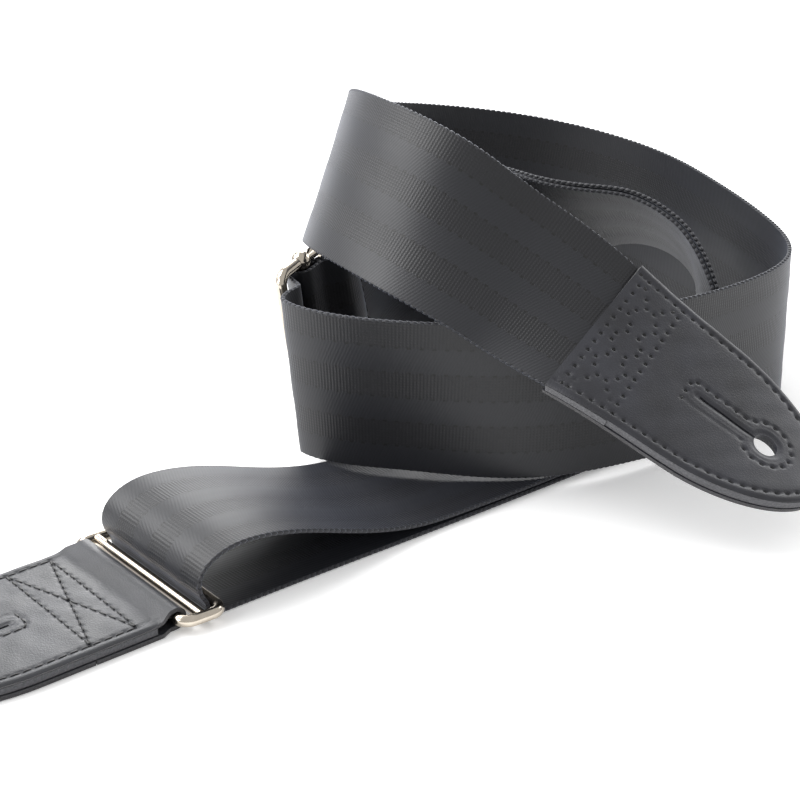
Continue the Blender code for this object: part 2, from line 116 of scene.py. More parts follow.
def natural_spline(knots: np.ndarray, values: np.ndarray) -> Callable[[float], np.ndarray]:
    """A natural cubic spline through the values.

    Args:
        knots: distances of the values, rising.
        values: one row for each knot.

    Returns:
        A function from a distance to the value there.
    """
    spans = np.diff(knots)
    system = np.eye(len(knots))
    bends = np.zeros_like(values)
    for i in range(1, len(knots) - 1):
        system[i, i - 1 : i + 2] = spans[i - 1], 2 * (spans[i - 1] + spans[i]), spans[i]
        slopes = np.diff(values[i - 1 : i + 2], axis=0) / spans[i - 1 : i + 1, None]
        bends[i] = 6 * (slopes[1] - slopes[0])
    bends = np.linalg.solve(system, bends)

    def at(distance: float) -> np.ndarray:
        """The spline's value at a distance.

        Args:
            distance: how far along.

        Returns:
            The value there.
        """
        i = int(np.clip(np.searchsorted(knots, distance) - 1, 0, len(spans) - 1))
        before, after, span = knots[i + 1] - distance, distance - knots[i], spans[i]
        cubic = (bends[i] * before**3 + bends[i + 1] * after**3) / (6 * span)
        left = (values[i] / span - bends[i] * span / 6) * before
        right = (values[i + 1] / span - bends[i + 1] * span / 6) * after
        return cubic + left + right

    return at


def chord_lengths(points: np.ndarray) -> np.ndarray:
    """Running chord length along the points, from 0."""
    steps = np.linalg.norm(np.diff(points, axis=0), axis=1)
    return np.concatenate([[0.0], np.cumsum(steps)])


@dataclass
class Rib:
    """One cross line of a strip, in millimetres.

    Attributes:
        centre: its middle.
        across: unit vector towards the strip's upper edge.
        half: half the strip's width there.
        place: distance along the strip in its flat state.
        normal: the way the strip's face points, filled in by face_ribs.
    """

    centre: Vector
    across: Vector
    half: float
    place: float = 0.0
    normal: Vector = field(default_factory=lambda: Vector((0, 0, 1)))


def face_ribs(ribs: Sequence[Rib], sign: float = 1.0) -> None:
    """Set each rib's normal from its neighbours.

    Args:
        ribs: the strip's ribs in order.
        sign: 1 for across x heading, -1 for the other side.
    """
    for i, rib in enumerate(ribs):
        heading = ribs[min(i + 1, len(ribs) - 1)].centre - ribs[max(i - 1, 0)].centre
        rib.normal = rib.across.cross(heading).normalized() * sign


@dataclass
class StrapRoute:
    """Where the webbing runs, and the sizes of what it runs through, in millimetres."""

    width: float = 49.0
    thickness: float = 1.3
    gap: float = 0.3
    wire: float = 1.8
    bar_offset: float = 12.0
    centre_bar: float = 1.6
    tilt_room: float = 1.7
    weave_reach: float = 26.0
    tail: float = 27.0
    ring_wire: float = 1.65
    ring_height: float = 3.35
    ring_yaw: float = 3.0
    ring_bar: tuple[float, float] = (-88.0, -19.3)
    ring_pitch: float = 6.25
    in_tab: float = 18.0

    def __post_init__(self) -> None:
        """Fit the route's spline and the weave through the slider."""
        stations = np.array(ROUTE, float)
        self.knots = chord_lengths(stations[:, :3])
        self.spline = natural_spline(self.knots, stations)
        self.tab_base = self.knots[3]
        self.slider_at = self.knots[23]
        self.ring_at = self.knots[39]
        self.pitch = self.thickness + self.gap + 0.2
        self.wrap = self.centre_bar + 2 * self.gap + self.thickness / 2
        inside = self.wire + self.tilt_room + self.gap + self.thickness / 2
        reach, bar = self.weave_reach, self.bar_offset
        places = np.array([-34.0, -reach, -bar, 0.0, bar, reach, 34.0])
        depths = np.array([[0.0], [0.0], [inside], [-(self.wrap + self.pitch)], [inside], [0.0], [0.0]])
        self.weave_spline = natural_spline(places, depths)

    def section(self, distance: float) -> tuple[Vector, Vector, Vector, Vector]:
        """Centre, heading, across and inward normal of the route at a distance.

        Args:
            distance: how far along the route.

        Returns:
            The four vectors.
        """
        values = self.spline(distance)
        ahead = self.spline(distance + 0.4) - self.spline(distance - 0.4)
        heading = Vector(ahead[:3]).normalized()
        upright = (Vector((0, 0, 1)) - heading * heading.z).normalized()
        lean = math.radians(values[3])
        across = upright * math.cos(lean) + heading.cross(upright) * math.sin(lean)
        return Vector(values[:3]), heading, across, heading.cross(across)

    def weave(self, along: float) -> float:
        """How far the webbing stands in from the slider's plane."""
        return float(self.weave_spline(along)[0]) if abs(along) < self.weave_reach else 0.0

    def layer(self, distance: float, number: int) -> Rib:
        """A rib of the main layer (0), the return layer (1) or the sewn tail (2).

        Args:
            distance: how far along the route.
            number: the layer.

        Returns:
            The rib.
        """
        centre, _, across, inward = self.section(distance)
        along = distance - self.slider_at
        slope = (self.weave(along + 0.3) - self.weave(along - 0.3)) / 0.6
        stand = number * self.pitch * math.hypot(1, slope)
        return Rib(centre + inward * (self.weave(along) + stand), across, self.width / 2)

    def rear_across(self) -> Vector:
        """The direction along the ring's bars."""
        yaw = math.radians(self.ring_yaw)
        return Vector((-math.sin(yaw), -math.cos(yaw), 0))

    def hump(self) -> list[Rib]:
        """The bight round the ring's bar and the hump above it, down to where the layer lies flat.

        Returns:
            Its ribs in order.
        """
        bar_x, bar_y = self.ring_bar
        radius = self.ring_wire + self.gap + self.thickness / 2
        lie_down = self.ring_at - 106.0
        guide = []
        for degrees in range(-90, -181, -10):
            angle = math.radians(degrees)
            guide.append((bar_x + radius * math.cos(angle), self.ring_height + radius * math.sin(angle)))
        turn = len(guide)
        last, after = self.layer(lie_down, 1).centre, self.layer(lie_down - 4.5, 1).centre
        guide += [*HUMP, (last.x, last.z), (after.x, after.z)]
        points = np.array(guide)
        knots = chord_lengths(points)
        curve = natural_spline(knots, points)
        ribs = []
        places = list(knots[1 : turn - 1]) + list(np.arange(knots[turn - 1], knots[-2] - 1.0, 1.5))
        for place in places:
            x, z = curve(place)
            blend = max((x - bar_x) / (last.x - bar_x), 0)
            centre = Vector((x, bar_y + (last.y - bar_y) * blend, z))
            ribs.append(Rib(centre, self.rear_across(), self.width / 2))
        return ribs

    def whole(self) -> list[Rib]:
        """Every rib of the webbing, from inside the front leather end to the sewn tail.

        Returns:
            The ribs, with their flat places.
        """
        lie_down = self.ring_at - 106.0
        steps = [self.tab_base - self.in_tab]
        while steps[-1] < self.ring_at:
            near = abs(steps[-1] - self.slider_at) < self.weave_reach + 4
            steps.append(steps[-1] + (1.0 if near else 1.6))
        ribs = [self.layer(place, 0) for place in steps if place < self.ring_at - 1.0]
        final = self.layer(self.ring_at, 0)
        final.across = self.rear_across()
        ribs.append(final)
        ribs += self.hump()
        back = [place for place in steps if self.slider_at + 0.5 < place <= lie_down]
        ribs += [self.layer(place, 1) for place in reversed(back)]
        centre, heading, across, inward = self.section(self.slider_at)
        for degrees in range(15, 166, 10):
            angle = math.radians(degrees)
            offset = heading * -math.sin(angle) - inward * math.cos(angle)
            ribs.append(Rib(centre + offset * self.wrap, across, self.width / 2))
        for along in np.arange(0, self.tail + 0.1, 1.0):
            centre, _, across, inward = self.section(self.slider_at + along)
            settled = self.layer(self.slider_at + along, 2)
            reach = (settled.centre - centre).dot(inward)
            ease = min(along / self.bar_offset, 1.0)
            ease = ease * ease * (3 - 2 * ease)
            depth = self.wrap * (1 - ease) + max(reach, self.wrap) * ease
            ribs.append(Rib(centre + inward * depth, across, self.width / 2))
        for before, rib in zip(ribs, ribs[1:]):
            rib.place = before.place + (rib.centre - before.centre).length
        face_ribs(ribs)
        return ribs


# ---------------------------------------------------------------- finishes


def linear(hex_colour: str) -> tuple[float, float, float, float]:
    """The linear colour of an sRGB hex value such as "#202226".

    Args:
        hex_colour: the sRGB value.

    Returns:
        Red, green, blue and alpha.
    """
    channels = [int(hex_colour[i : i + 2], 16) / 255 for i in (1, 3, 5)]
    turned = [c / 12.92 if c <= 0.04045 else ((c + 0.055) / 1.055) ** 2.4 for c in channels]
    return (*turned, 1.0)


def add_node(
    tree: bpy.types.NodeTree,
    kind: str,
    settings: dict[str, Any] | None = None,
    links: dict[Any, Any] | None = None,
    values: dict[Any, Any] | None = None,
) -> bpy.types.Node:
    """Add a node.

    Args:
        tree: where it goes.
        kind: its type's name without the ShaderNode prefix.
        settings: its properties.
        links: input name or number to the output socket that feeds it.
        values: input name or number to its fixed value.

    Returns:
        The node.
    """
    node = tree.nodes.new("ShaderNode" + kind)
    for key, value in (settings or {}).items():
        setattr(node, key, value)
    for key, value in (values or {}).items():
        node.inputs[key].default_value = value
    for key, socket in (links or {}).items():
        tree.links.new(socket, node.inputs[key])
    return node


class NodeBench:
    """One material on a Principled shader, with small helpers for its patterns."""

    def __init__(self, name: str) -> None:
        """Start a material of that name.

        Args:
            name: the material's name.
        """
        self.material = bpy.data.materials.new(name)
        self.material.use_nodes = True
        self.tree = self.material.node_tree
        self.shader = self.tree.nodes["Principled BSDF"]

    def put(self, **values: Any) -> None:
        """Set shader sockets, named with underscores for spaces."""
        for key, value in values.items():
            self.shader.inputs[key.replace("_", " ")].default_value = value

    def math(self, operation: str, first: Any, second: Any = None) -> Any:
        """A Math node's result; each operand is a socket or a number.

        Args:
            operation: the node's operation.
            first: first operand.
            second: second operand, if the operation takes one.

        Returns:
            The result's socket.
        """
        links, values = {}, {}
        for index, operand in enumerate((first, second)):
            if operand is None:
                continue
            (values if isinstance(operand, (int, float)) else links)[index] = operand
        return add_node(self.tree, "Math", {"operation": operation}, links, values).outputs[0]

    def wave(self, place: Any, period: float) -> Any:
        """A sine from 0 to 1 along a place in millimetres."""
        turned = self.math("SINE", self.math("MULTIPLY", place, 2 * math.pi / period))
        return self.math("MULTIPLY", self.math("ADD", turned, 1.0), 0.5)

    def mix(self, share: Any, first: Any, second: Any) -> Any:
        """A colour mix; each colour is a socket or a hex value.

        Args:
            share: socket with the second colour's share.
            first: colour at a share of 0.
            second: colour at a share of 1.

        Returns:
            The mixed colour's socket.
        """
        links, values = {"Factor": share}, {}
        for key, colour in ((6, first), (7, second)):
            if isinstance(colour, str):
                values[key] = linear(colour)
            else:
                links[key] = colour
        return add_node(self.tree, "Mix", {"data_type": "RGBA"}, links, values).outputs[2]

    def noise(self, size: float, detail: float = 2.0) -> Any:
        """Noise on Object coordinates whose blobs are about size millimetres.

        Args:
            size: size of a blob.
            detail: how many finer layers it has.

        Returns:
            The noise's socket.
        """
        coordinates = add_node(self.tree, "TexCoord").outputs["Object"]
        values = {"Scale": 1 / (size * MM), "Detail": detail}
        return add_node(self.tree, "TexNoise", None, {"Vector": coordinates}, values).outputs[0]

    def bump(self, height: Any, depth: float, strength: float = 1.0) -> None:
        """Bump from a height of 0 to 1 that stands for depth millimetres.

        Args:
            height: the height's socket.
            depth: the depth in millimetres.
            strength: how strongly it shades.
        """
        values = {"Strength": strength, "Distance": depth * MM}
        made = add_node(self.tree, "Bump", None, {"Height": height}, values)
        self.feed(made.outputs[0], "Normal")

    def colour(self, socket: Any) -> None:
        """Feed the base colour."""
        self.feed(socket, "Base Color")

    def feed(self, socket: Any, name: str) -> None:
        """Feed one of the shader's sockets."""
        self.tree.links.new(socket, self.shader.inputs[name])

    def clamp(self, value: Any) -> Any:
        """A value held between 0 and 1."""
        return self.math("MINIMUM", self.math("MAXIMUM", value, 0.0), 1.0)

    def flat_place(self) -> tuple[Any, Any]:
        """The place along and across the piece in its flat state, in millimetres.

        Returns:
            The two sockets.
        """
        flat = add_node(self.tree, "UVMap", {"uv_map": "flat"}).outputs[0]
        parts = add_node(self.tree, "SeparateXYZ", None, {0: flat})
        return parts.outputs[0], parts.outputs[1]


@dataclass(frozen=True)
class Finish:
    """A real surface. Each kind dresses its own material.

    Attributes:
        name: the material's name.
    """

    name: str = "finish"

    def make(self) -> bpy.types.Material:
        """The finished material.

        Returns:
            The material, with its nodes.
        """
        bench = NodeBench(self.name)
        self.dress(bench)
        return bench.material

    def dress(self, bench: NodeBench) -> None:
        """Set the shader. Each finish has its own."""
        raise NotImplementedError


@dataclass(frozen=True)
class SeatBeltWeave(Finish):
    """Polyester seat-belt webbing: lengthwise panels of cross ribs and of fine twill, in turn.

    The ribs lie across the strap and the twill lies between them; the same black yarn is painted darker on
    the ribbed panels as painted shade and lighter on the twill panels as a painted sheen, for how each weave
    catches the light.
    A row of small sunken ties runs along each border between two panels; the ties and the low parts of the
    weave are painted darker as painted shade.
    Real yarns are about 0.5 mm apart, and are drawn twice as coarse so that they show.

    Attributes:
        ribs_first: whether the panel at the lower edge is the ribbed one.
        panel: width of one panel, in millimetres.
        rib_spacing: from one cross rib to the next.
        yarn_spacing: from one lengthwise yarn to the next.
        twill_slant: how far the twill runs along for each millimetre across.
        tie_spacing: from one tie to the next.
        border: half width of a border, as a share of the panels' sine.
    """

    name: str = "polyester_webbing_outer"
    ribs_first: bool = False
    panel: float = 49.0 / 6
    rib_spacing: float = 1.0
    yarn_spacing: float = 0.9
    twill_slant: float = 0.45
    tie_spacing: float = 3.5
    border: float = 0.14
    # painted shade on the ribbed panels and painted sheen on the twill panels: one black polyester in two
    # tones
    rib_painted_shade_colour: str = "#131316"
    twill_painted_sheen_colour: str = "#1C1D22"
    # painted shade for the sunken ties and the low parts of the weave
    tie_and_hollow_painted_shade_colour: str = "#050506"
    worn_colour: str = "#24262D"

    def dress(self, bench: NodeBench) -> None:
        """Panels, ribs, twill, ties, painted shade in the ties and hollows, painted sheen on the twill, and
        a soft sheen.

        Args:
            bench: the material being dressed.
        """
        along, across = bench.flat_place()
        panels = bench.math("SINE", bench.math("MULTIPLY", across, math.pi / self.panel))
        steep = -7.0 if self.ribs_first else 7.0
        smooth = bench.clamp(bench.math("ADD", bench.math("MULTIPLY", panels, steep), 0.5))
        yarns = bench.math("ADD", bench.wave(across, self.yarn_spacing), 0.6)
        ribs = bench.math("MULTIPLY", bench.wave(along, self.rib_spacing), yarns)
        slant = bench.math("ADD", along, bench.math("MULTIPLY", across, self.twill_slant))
        twill = bench.math("MULTIPLY", bench.wave(slant, self.rib_spacing), 0.5)
        at_border = bench.math("LESS_THAN", bench.math("ABSOLUTE", panels), self.border)
        tied = bench.math("GREATER_THAN", bench.wave(along, self.tie_spacing), 0.72)
        ties = bench.math("MULTIPLY", at_border, tied)
        ribbed = bench.math("MULTIPLY", bench.math("SUBTRACT", 1.0, smooth), ribs)
        height = bench.math("ADD", ribbed, bench.math("MULTIPLY", smooth, twill))
        height = bench.math("SUBTRACT", height, bench.math("MULTIPLY", ties, 0.9))
        # painted shade: the lower the weave's height, the more its colour goes towards the dark tie tone
        painted_hollow_shade = bench.math("MULTIPLY", bench.math("SUBTRACT", 1.0, height), 0.42)
        # the panel mix carries the painted shade of the ribs and the painted sheen of the twill
        tone = bench.mix(painted_hollow_shade, bench.mix(smooth, self.rib_painted_shade_colour, self.twill_painted_sheen_colour), self.tie_and_hollow_painted_shade_colour)
        tone = bench.mix(bench.math("MULTIPLY", bench.noise(28.0), 0.2), tone, self.worn_colour)
        # painted shade: the sunken ties are painted near-black
        bench.colour(bench.mix(ties, tone, self.tie_and_hollow_painted_shade_colour))
        bench.bump(height, 0.1, 0.45)
        bench.put(Roughness=0.48, Sheen_Weight=0.22, Sheen_Roughness=0.35, IOR=1.5)
        bench.put(Sheen_Tint=linear(COOL_SHEEN))


@dataclass(frozen=True)
class SelvedgeYarn(Finish):
    """The twisted yarn of the webbing's edges: the same polyester, with a painted highlight that makes its
    raised crowns a little lighter.
    """

    name: str = "polyester_selvedge"

    def dress(self, bench: NodeBench) -> None:
        """Plain yarn with a fine fibre noise.

        Args:
            bench: the material being dressed.
        """
        fibre = bench.noise(0.5)
        # painted highlight: the noise that raises the crowns in the bump also lightens their colour
        bench.colour(bench.mix(fibre, "#101013", "#26272D"))
        bench.bump(fibre, 0.1, 0.5)
        bench.put(Roughness=0.55, Sheen_Weight=0.35, Sheen_Roughness=0.4)
        bench.put(Sheen_Tint=linear(COOL_SHEEN))


@dataclass(frozen=True)
class SoftLeather(Finish):
    """Black full-grain leather, softly padded: fine pebble grain, satin, greyer where it is rubbed.

    Attributes:
        grain: size of one grain cell, in millimetres.
        dark: its colour where it isn't rubbed.
        rubbed: its colour where it is.
        gloss: its middle roughness.
    """

    name: str = "full_grain_leather"
    grain: float = 0.9
    dark: str = "#1A1A1E"
    rubbed: str = "#2B2C33"
    gloss: float = 0.42

    def dress(self, bench: NodeBench) -> None:
        """Grain cells, long creases and rubbed patches.

        Args:
            bench: the material being dressed.
        """
        coordinates = add_node(bench.tree, "TexCoord").outputs["Object"]
        cells = add_node(bench.tree, "TexVoronoi", {"feature": "DISTANCE_TO_EDGE"},
                         {"Vector": coordinates}, {"Scale": 1 / (self.grain * MM)}).outputs[0]
        cells = bench.math("MINIMUM", bench.math("MULTIPLY", cells, 4.0), 1.0)
        creases = bench.noise(5.0, 5.0)
        patches = bench.math("SUBTRACT", bench.noise(14.0, 4.0), 0.32)
        bench.colour(bench.mix(bench.clamp(bench.math("MULTIPLY", patches, 2.2)), self.dark, self.rubbed))
        creased = bench.math("MULTIPLY", creases, 0.9)
        bench.bump(bench.math("ADD", bench.math("MULTIPLY", cells, 0.35), creased), 0.12, 0.5)
        rough = bench.math("ADD", bench.math("MULTIPLY", creases, 0.2), self.gloss - 0.1)
        bench.feed(rough, "Roughness")
        bench.put(IOR=1.5, Sheen_Weight=0.08, Sheen_Roughness=0.5)
        bench.put(Sheen_Tint=linear("#D5D8E4"))


@dataclass(frozen=True)
class RawLeatherEdge(Finish):
    """The cut edge of leather: matt, fibrous, and dyed unevenly.

    Attributes:
        dark: the colour between its fibres.
        light: the colour of its fibres.
    """

    name: str = "raw_leather_edge"
    dark: str = "#1B1A1C"
    light: str = "#4A494C"

    def dress(self, bench: NodeBench) -> None:
        """Short fibres in two tones.

        Args:
            bench: the material being dressed.
        """
        fibre = bench.noise(0.6, 4.0)
        bench.colour(bench.mix(fibre, self.dark, self.light))
        bench.bump(fibre, 0.3, 0.8)
        bench.put(Roughness=0.9, Sheen_Weight=0.2)


@dataclass(frozen=True)
class WarmNickel(Finish):
    """Steel wire with polished warm nickel plate: bright, with faint drawing marks and smears."""

    name: str = "warm_nickel_plate"

    def dress(self, bench: NodeBench) -> None:
        """Plate colour with slightly uneven polish.

        Args:
            bench: the material being dressed.
        """
        smear = bench.noise(3.0, 3.0)
        bench.colour(bench.mix(smear, "#B5AB9D", "#D8CFC1"))
        bench.feed(bench.math("ADD", bench.math("MULTIPLY", smear, 0.12), 0.09), "Roughness")
        bench.bump(bench.noise(0.7), 0.02, 0.3)
        bench.put(Metallic=1.0)


@dataclass(frozen=True)
class WaxedThread(Finish):
    """Bonded black sewing thread: twisted, with a waxy gloss on each stitch."""

    name: str = "bonded_thread"

    def dress(self, bench: NodeBench) -> None:
        """Near-black with fine twist.

        Args:
            bench: the material being dressed.
        """
        twist = bench.noise(0.4)
        bench.colour(bench.mix(twist, "#050506", "#141416"))
        bench.bump(twist, 0.08, 0.6)
        bench.put(Roughness=0.42)


@dataclass(frozen=True)
class PaleSweep(Finish):
    """Matt pale studio sweep that the strap lies on, lit a little from within to stay white."""

    name: str = "pale_sweep"

    def dress(self, bench: NodeBench) -> None:
        """Almost white and fully matt.

        Args:
            bench: the material being dressed.
        """
        bench.colour(bench.mix(bench.noise(400.0), "#F7F7F7", "#FAFAFA"))
        bench.put(Roughness=1.0, IOR=1.0)
        bench.put(Emission_Color=linear("#FFFFFF"), Emission_Strength=0.22)


@dataclass(frozen=True)
class Finishes:
    """Every material of the strap, made once."""

    outer: bpy.types.Material
    inner: bpy.types.Material
    selvedge: bpy.types.Material
    leather: bpy.types.Material
    rear_leather_painted_glare: bpy.types.Material
    edge: bpy.types.Material
    pale_edge: bpy.types.Material
    nickel: bpy.types.Material
    thread: bpy.types.Material


def make_finishes() -> Finishes:
    """All the materials.

    Returns:
        The strap's materials.
    """
    # The rear end is the same leather as the front, painted lighter in both tones as painted glare from the
    # light behind it.
    rear = SoftLeather("full_grain_leather_rear_painted_glare", grain=0.8, dark="#2A2B2E", rubbed="#34353A", gloss=0.36)
    return Finishes(
        outer=SeatBeltWeave().make(),
        inner=SeatBeltWeave("polyester_webbing_inner", ribs_first=True).make(),
        selvedge=SelvedgeYarn().make(),
        leather=SoftLeather().make(),
        rear_leather_painted_glare=rear.make(),
        edge=RawLeatherEdge().make(),
        pale_edge=RawLeatherEdge("raw_leather_core", dark="#2A2A2C", light="#66666A").make(),
        nickel=WarmNickel().make(),
        thread=WaxedThread().make(),
    )


# ---------------------------------------------------------------- mesh helpers


def object_from(
    shape: bmesh.types.BMesh, name: str, materials: Sequence[bpy.types.Material]
) -> bpy.types.Object:
    """A scene object from a bmesh, which is freed.

    Args:
        shape: the bmesh.
        name: the object's name.
        materials: its material slots.

    Returns:
        The object, linked to the scene.
    """
    mesh = bpy.data.meshes.new(name)
    shape.to_mesh(mesh)
    shape.free()
    mesh.shade_smooth()
    for finish in materials:
        mesh.materials.append(finish)
    made = bpy.data.objects.new(name, mesh)
    bpy.context.scene.collection.objects.link(made)
    return made


def applied(obj: bpy.types.Object) -> bpy.types.Object:
    """The object with its modifiers applied to its mesh and its sharp edges marked.

    Args:
        obj: an object at the origin.

    Returns:
        The same object.
    """
    bpy.context.view_layer.update()
    graph = bpy.context.evaluated_depsgraph_get()
    mesh = bpy.data.meshes.new_from_object(obj.evaluated_get(graph))
    obj.modifiers.clear()
    obj.data = mesh
    mesh.shade_smooth()
    mesh.set_sharp_from_angle(angle=SHARP_CORNER)
    return obj


def strip_object(
    name: str,
    ribs: Sequence[Rib],
    columns: int,
    materials: Sequence[bpy.types.Material],
    height: Callable[[np.ndarray, np.ndarray], np.ndarray] | None = None,
) -> bpy.types.Object:
    """An open strip through the ribs, with its flat place kept as the UV map "flat" in millimetres.

    Args:
        name: the object's name.
        ribs: its cross lines.
        columns: how many faces lie across it.
        materials: its material slots.
        height: from flat places and distances aside to how far a point stands off the ribs' surface.

    Returns:
        The object.
    """
    shape = bmesh.new()
    bmesh.ops.create_grid(shape, x_segments=columns, y_segments=len(ribs) - 1, size=1)
    shape.verts.ensure_lookup_table()
    shape.faces.ensure_lookup_table()
    shares = np.linspace(-1, 1, columns + 1)
    places = np.array([[rib.place] * (columns + 1) for rib in ribs])
    asides = np.array([rib.half * shares for rib in ribs])
    lifts = height(places, asides) if height else np.zeros_like(places)
    flat = shape.loops.layers.uv.new("flat")
    for index, vertex in enumerate(shape.verts):
        row, column = divmod(index, columns + 1)
        rib = ribs[row]
        offset = rib.across * asides[row, column] + rib.normal * lifts[row, column]
        vertex.co = (rib.centre + offset) * MM
    for face in shape.faces:
        for loop in face.loops:
            row, column = divmod(loop.vert.index, columns + 1)
            loop[flat].uv = (places[row, column], asides[row, column])
    shape.normal_update()
    middle = len(ribs) // 2
    middle_face = shape.faces[middle * columns + columns // 2]
    if middle_face.normal.dot(ribs[middle].normal) < 0:
        bmesh.ops.reverse_faces(shape, faces=shape.faces)
    return object_from(shape, name, materials)


def thicken(obj: bpy.types.Object, thickness: float, offset: float, back: int = 0, rim: int = 0) -> None:
    """Give a strip its thickness in millimetres, with slot offsets for its back and its rim.

    Args:
        obj: the strip.
        thickness: its thickness.
        offset: -1 to grow behind the strip, 0 to grow both ways.
        back: slot offset of its back.
        rim: slot offset of its rim.
    """
    solid = obj.modifiers.new("thickness", "SOLIDIFY")
    solid.thickness = thickness * MM
    solid.offset = offset
    solid.material_offset = back
    solid.material_offset_rim = rim


def bead_run(
    name: str,
    places: Sequence[tuple[Vector, Vector, Vector]],
    size: tuple[float, float, float],
    finish: bpy.types.Material,
    turns: tuple[int, int] = (8, 5),
) -> bpy.types.Object:
    """Many small rounded beads as one mesh: stitches, or the yarn of an edge.

    Args:
        name: the object's name.
        places: centre, long direction and outward normal of each bead.
        size: half length, half width and half height in millimetres.
        finish: its material.
        turns: faces round and along each bead.

    Returns:
        The object.
    """
    template = bpy.data.meshes.new(name + "_bead")
    shape = bmesh.new()
    bmesh.ops.create_uvsphere(shape, u_segments=turns[0], v_segments=turns[1], radius=1)
    shape.to_mesh(template)
    shape.clear()
    round_bead = np.empty(len(template.vertices) * 3, np.float32)
    template.vertices.foreach_get("co", round_bead)
    for centre, along, normal in places:
        side = normal.cross(along).normalized()
        up = along.cross(side).normalized()
        turn = Matrix((along.normalized() * size[0], side * size[1], up * size[2])).transposed() * MM
        template.vertices.foreach_set("co", round_bead)
        template.transform(Matrix.Translation(centre * MM) @ turn.to_4x4())
        shape.from_mesh(template)
    bpy.data.meshes.remove(template)
    bmesh.ops.recalc_face_normals(shape, faces=shape.faces)
    return object_from(shape, name, [finish])


def wire_object(
    name: str, points: Sequence[Vector], radius: float, finish: bpy.types.Material, closed: bool = False
) -> bpy.types.Object:
    """A round wire through the points as a smooth closed mesh.

    Args:
        name: the object's name.
        points: the wire's middle line, in millimetres.
        radius: its radius.
        finish: its material.
        closed: whether its ends meet.

    Returns:
        The object.
    """
    curve = bpy.data.curves.new(name, "CURVE")
    curve.dimensions = "3D"
    curve.bevel_depth = radius * MM
    curve.bevel_resolution = 6
    curve.use_fill_caps = True
    spline = curve.splines.new("POLY")
    spline.points.add(len(points) - 1)
    spline.use_cyclic_u = closed
    for target, point in zip(spline.points, points):
        target.co = (*(point * MM), 1)
    source = bpy.data.objects.new(name + "_curve", curve)
    bpy.context.scene.collection.objects.link(source)
    bpy.context.view_layer.update()
    mesh = bpy.data.meshes.new_from_object(source.evaluated_get(bpy.context.evaluated_depsgraph_get()))
    bpy.data.objects.remove(source, do_unlink=True)
    bpy.data.curves.remove(curve)
    shape = bmesh.new()
    shape.from_mesh(mesh)
    bpy.data.meshes.remove(mesh)
    bmesh.ops.remove_doubles(shape, verts=shape.verts, dist=1e-6)
    made = object_from(shape, name, [finish])
    made.data.set_sharp_from_angle(angle=SHARP_CORNER)
    return made


def boolean(target: bpy.types.Object, other: bpy.types.Object, operation: str) -> None:
    """Join or cut the target with another object, which is then removed.

    Args:
        target: the object that is changed.
        other: the object it is changed with.
        operation: the modifier's operation.
    """
    modifier = target.modifiers.new("join", "BOOLEAN")
    modifier.operation = operation
    modifier.object = other
    applied(target)
    bpy.data.objects.remove(other, do_unlink=True)


def finish_piece(piece: bpy.types.Object, body: str, slot: str, *nodes: str) -> None:
    """Attach a piece to its body and hide the CAD nodes that it stands for.

    Args:
        piece: the piece.
        body: its moving body.
        slot: not used.
        nodes: the CAD nodes, if it stands for any.
    """
    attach(piece, body)
    if nodes:
        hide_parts(*nodes)
    LOG.info("%s: %d faces", piece.name, len(piece.data.polygons))


# ---------------------------------------------------------------- webbing


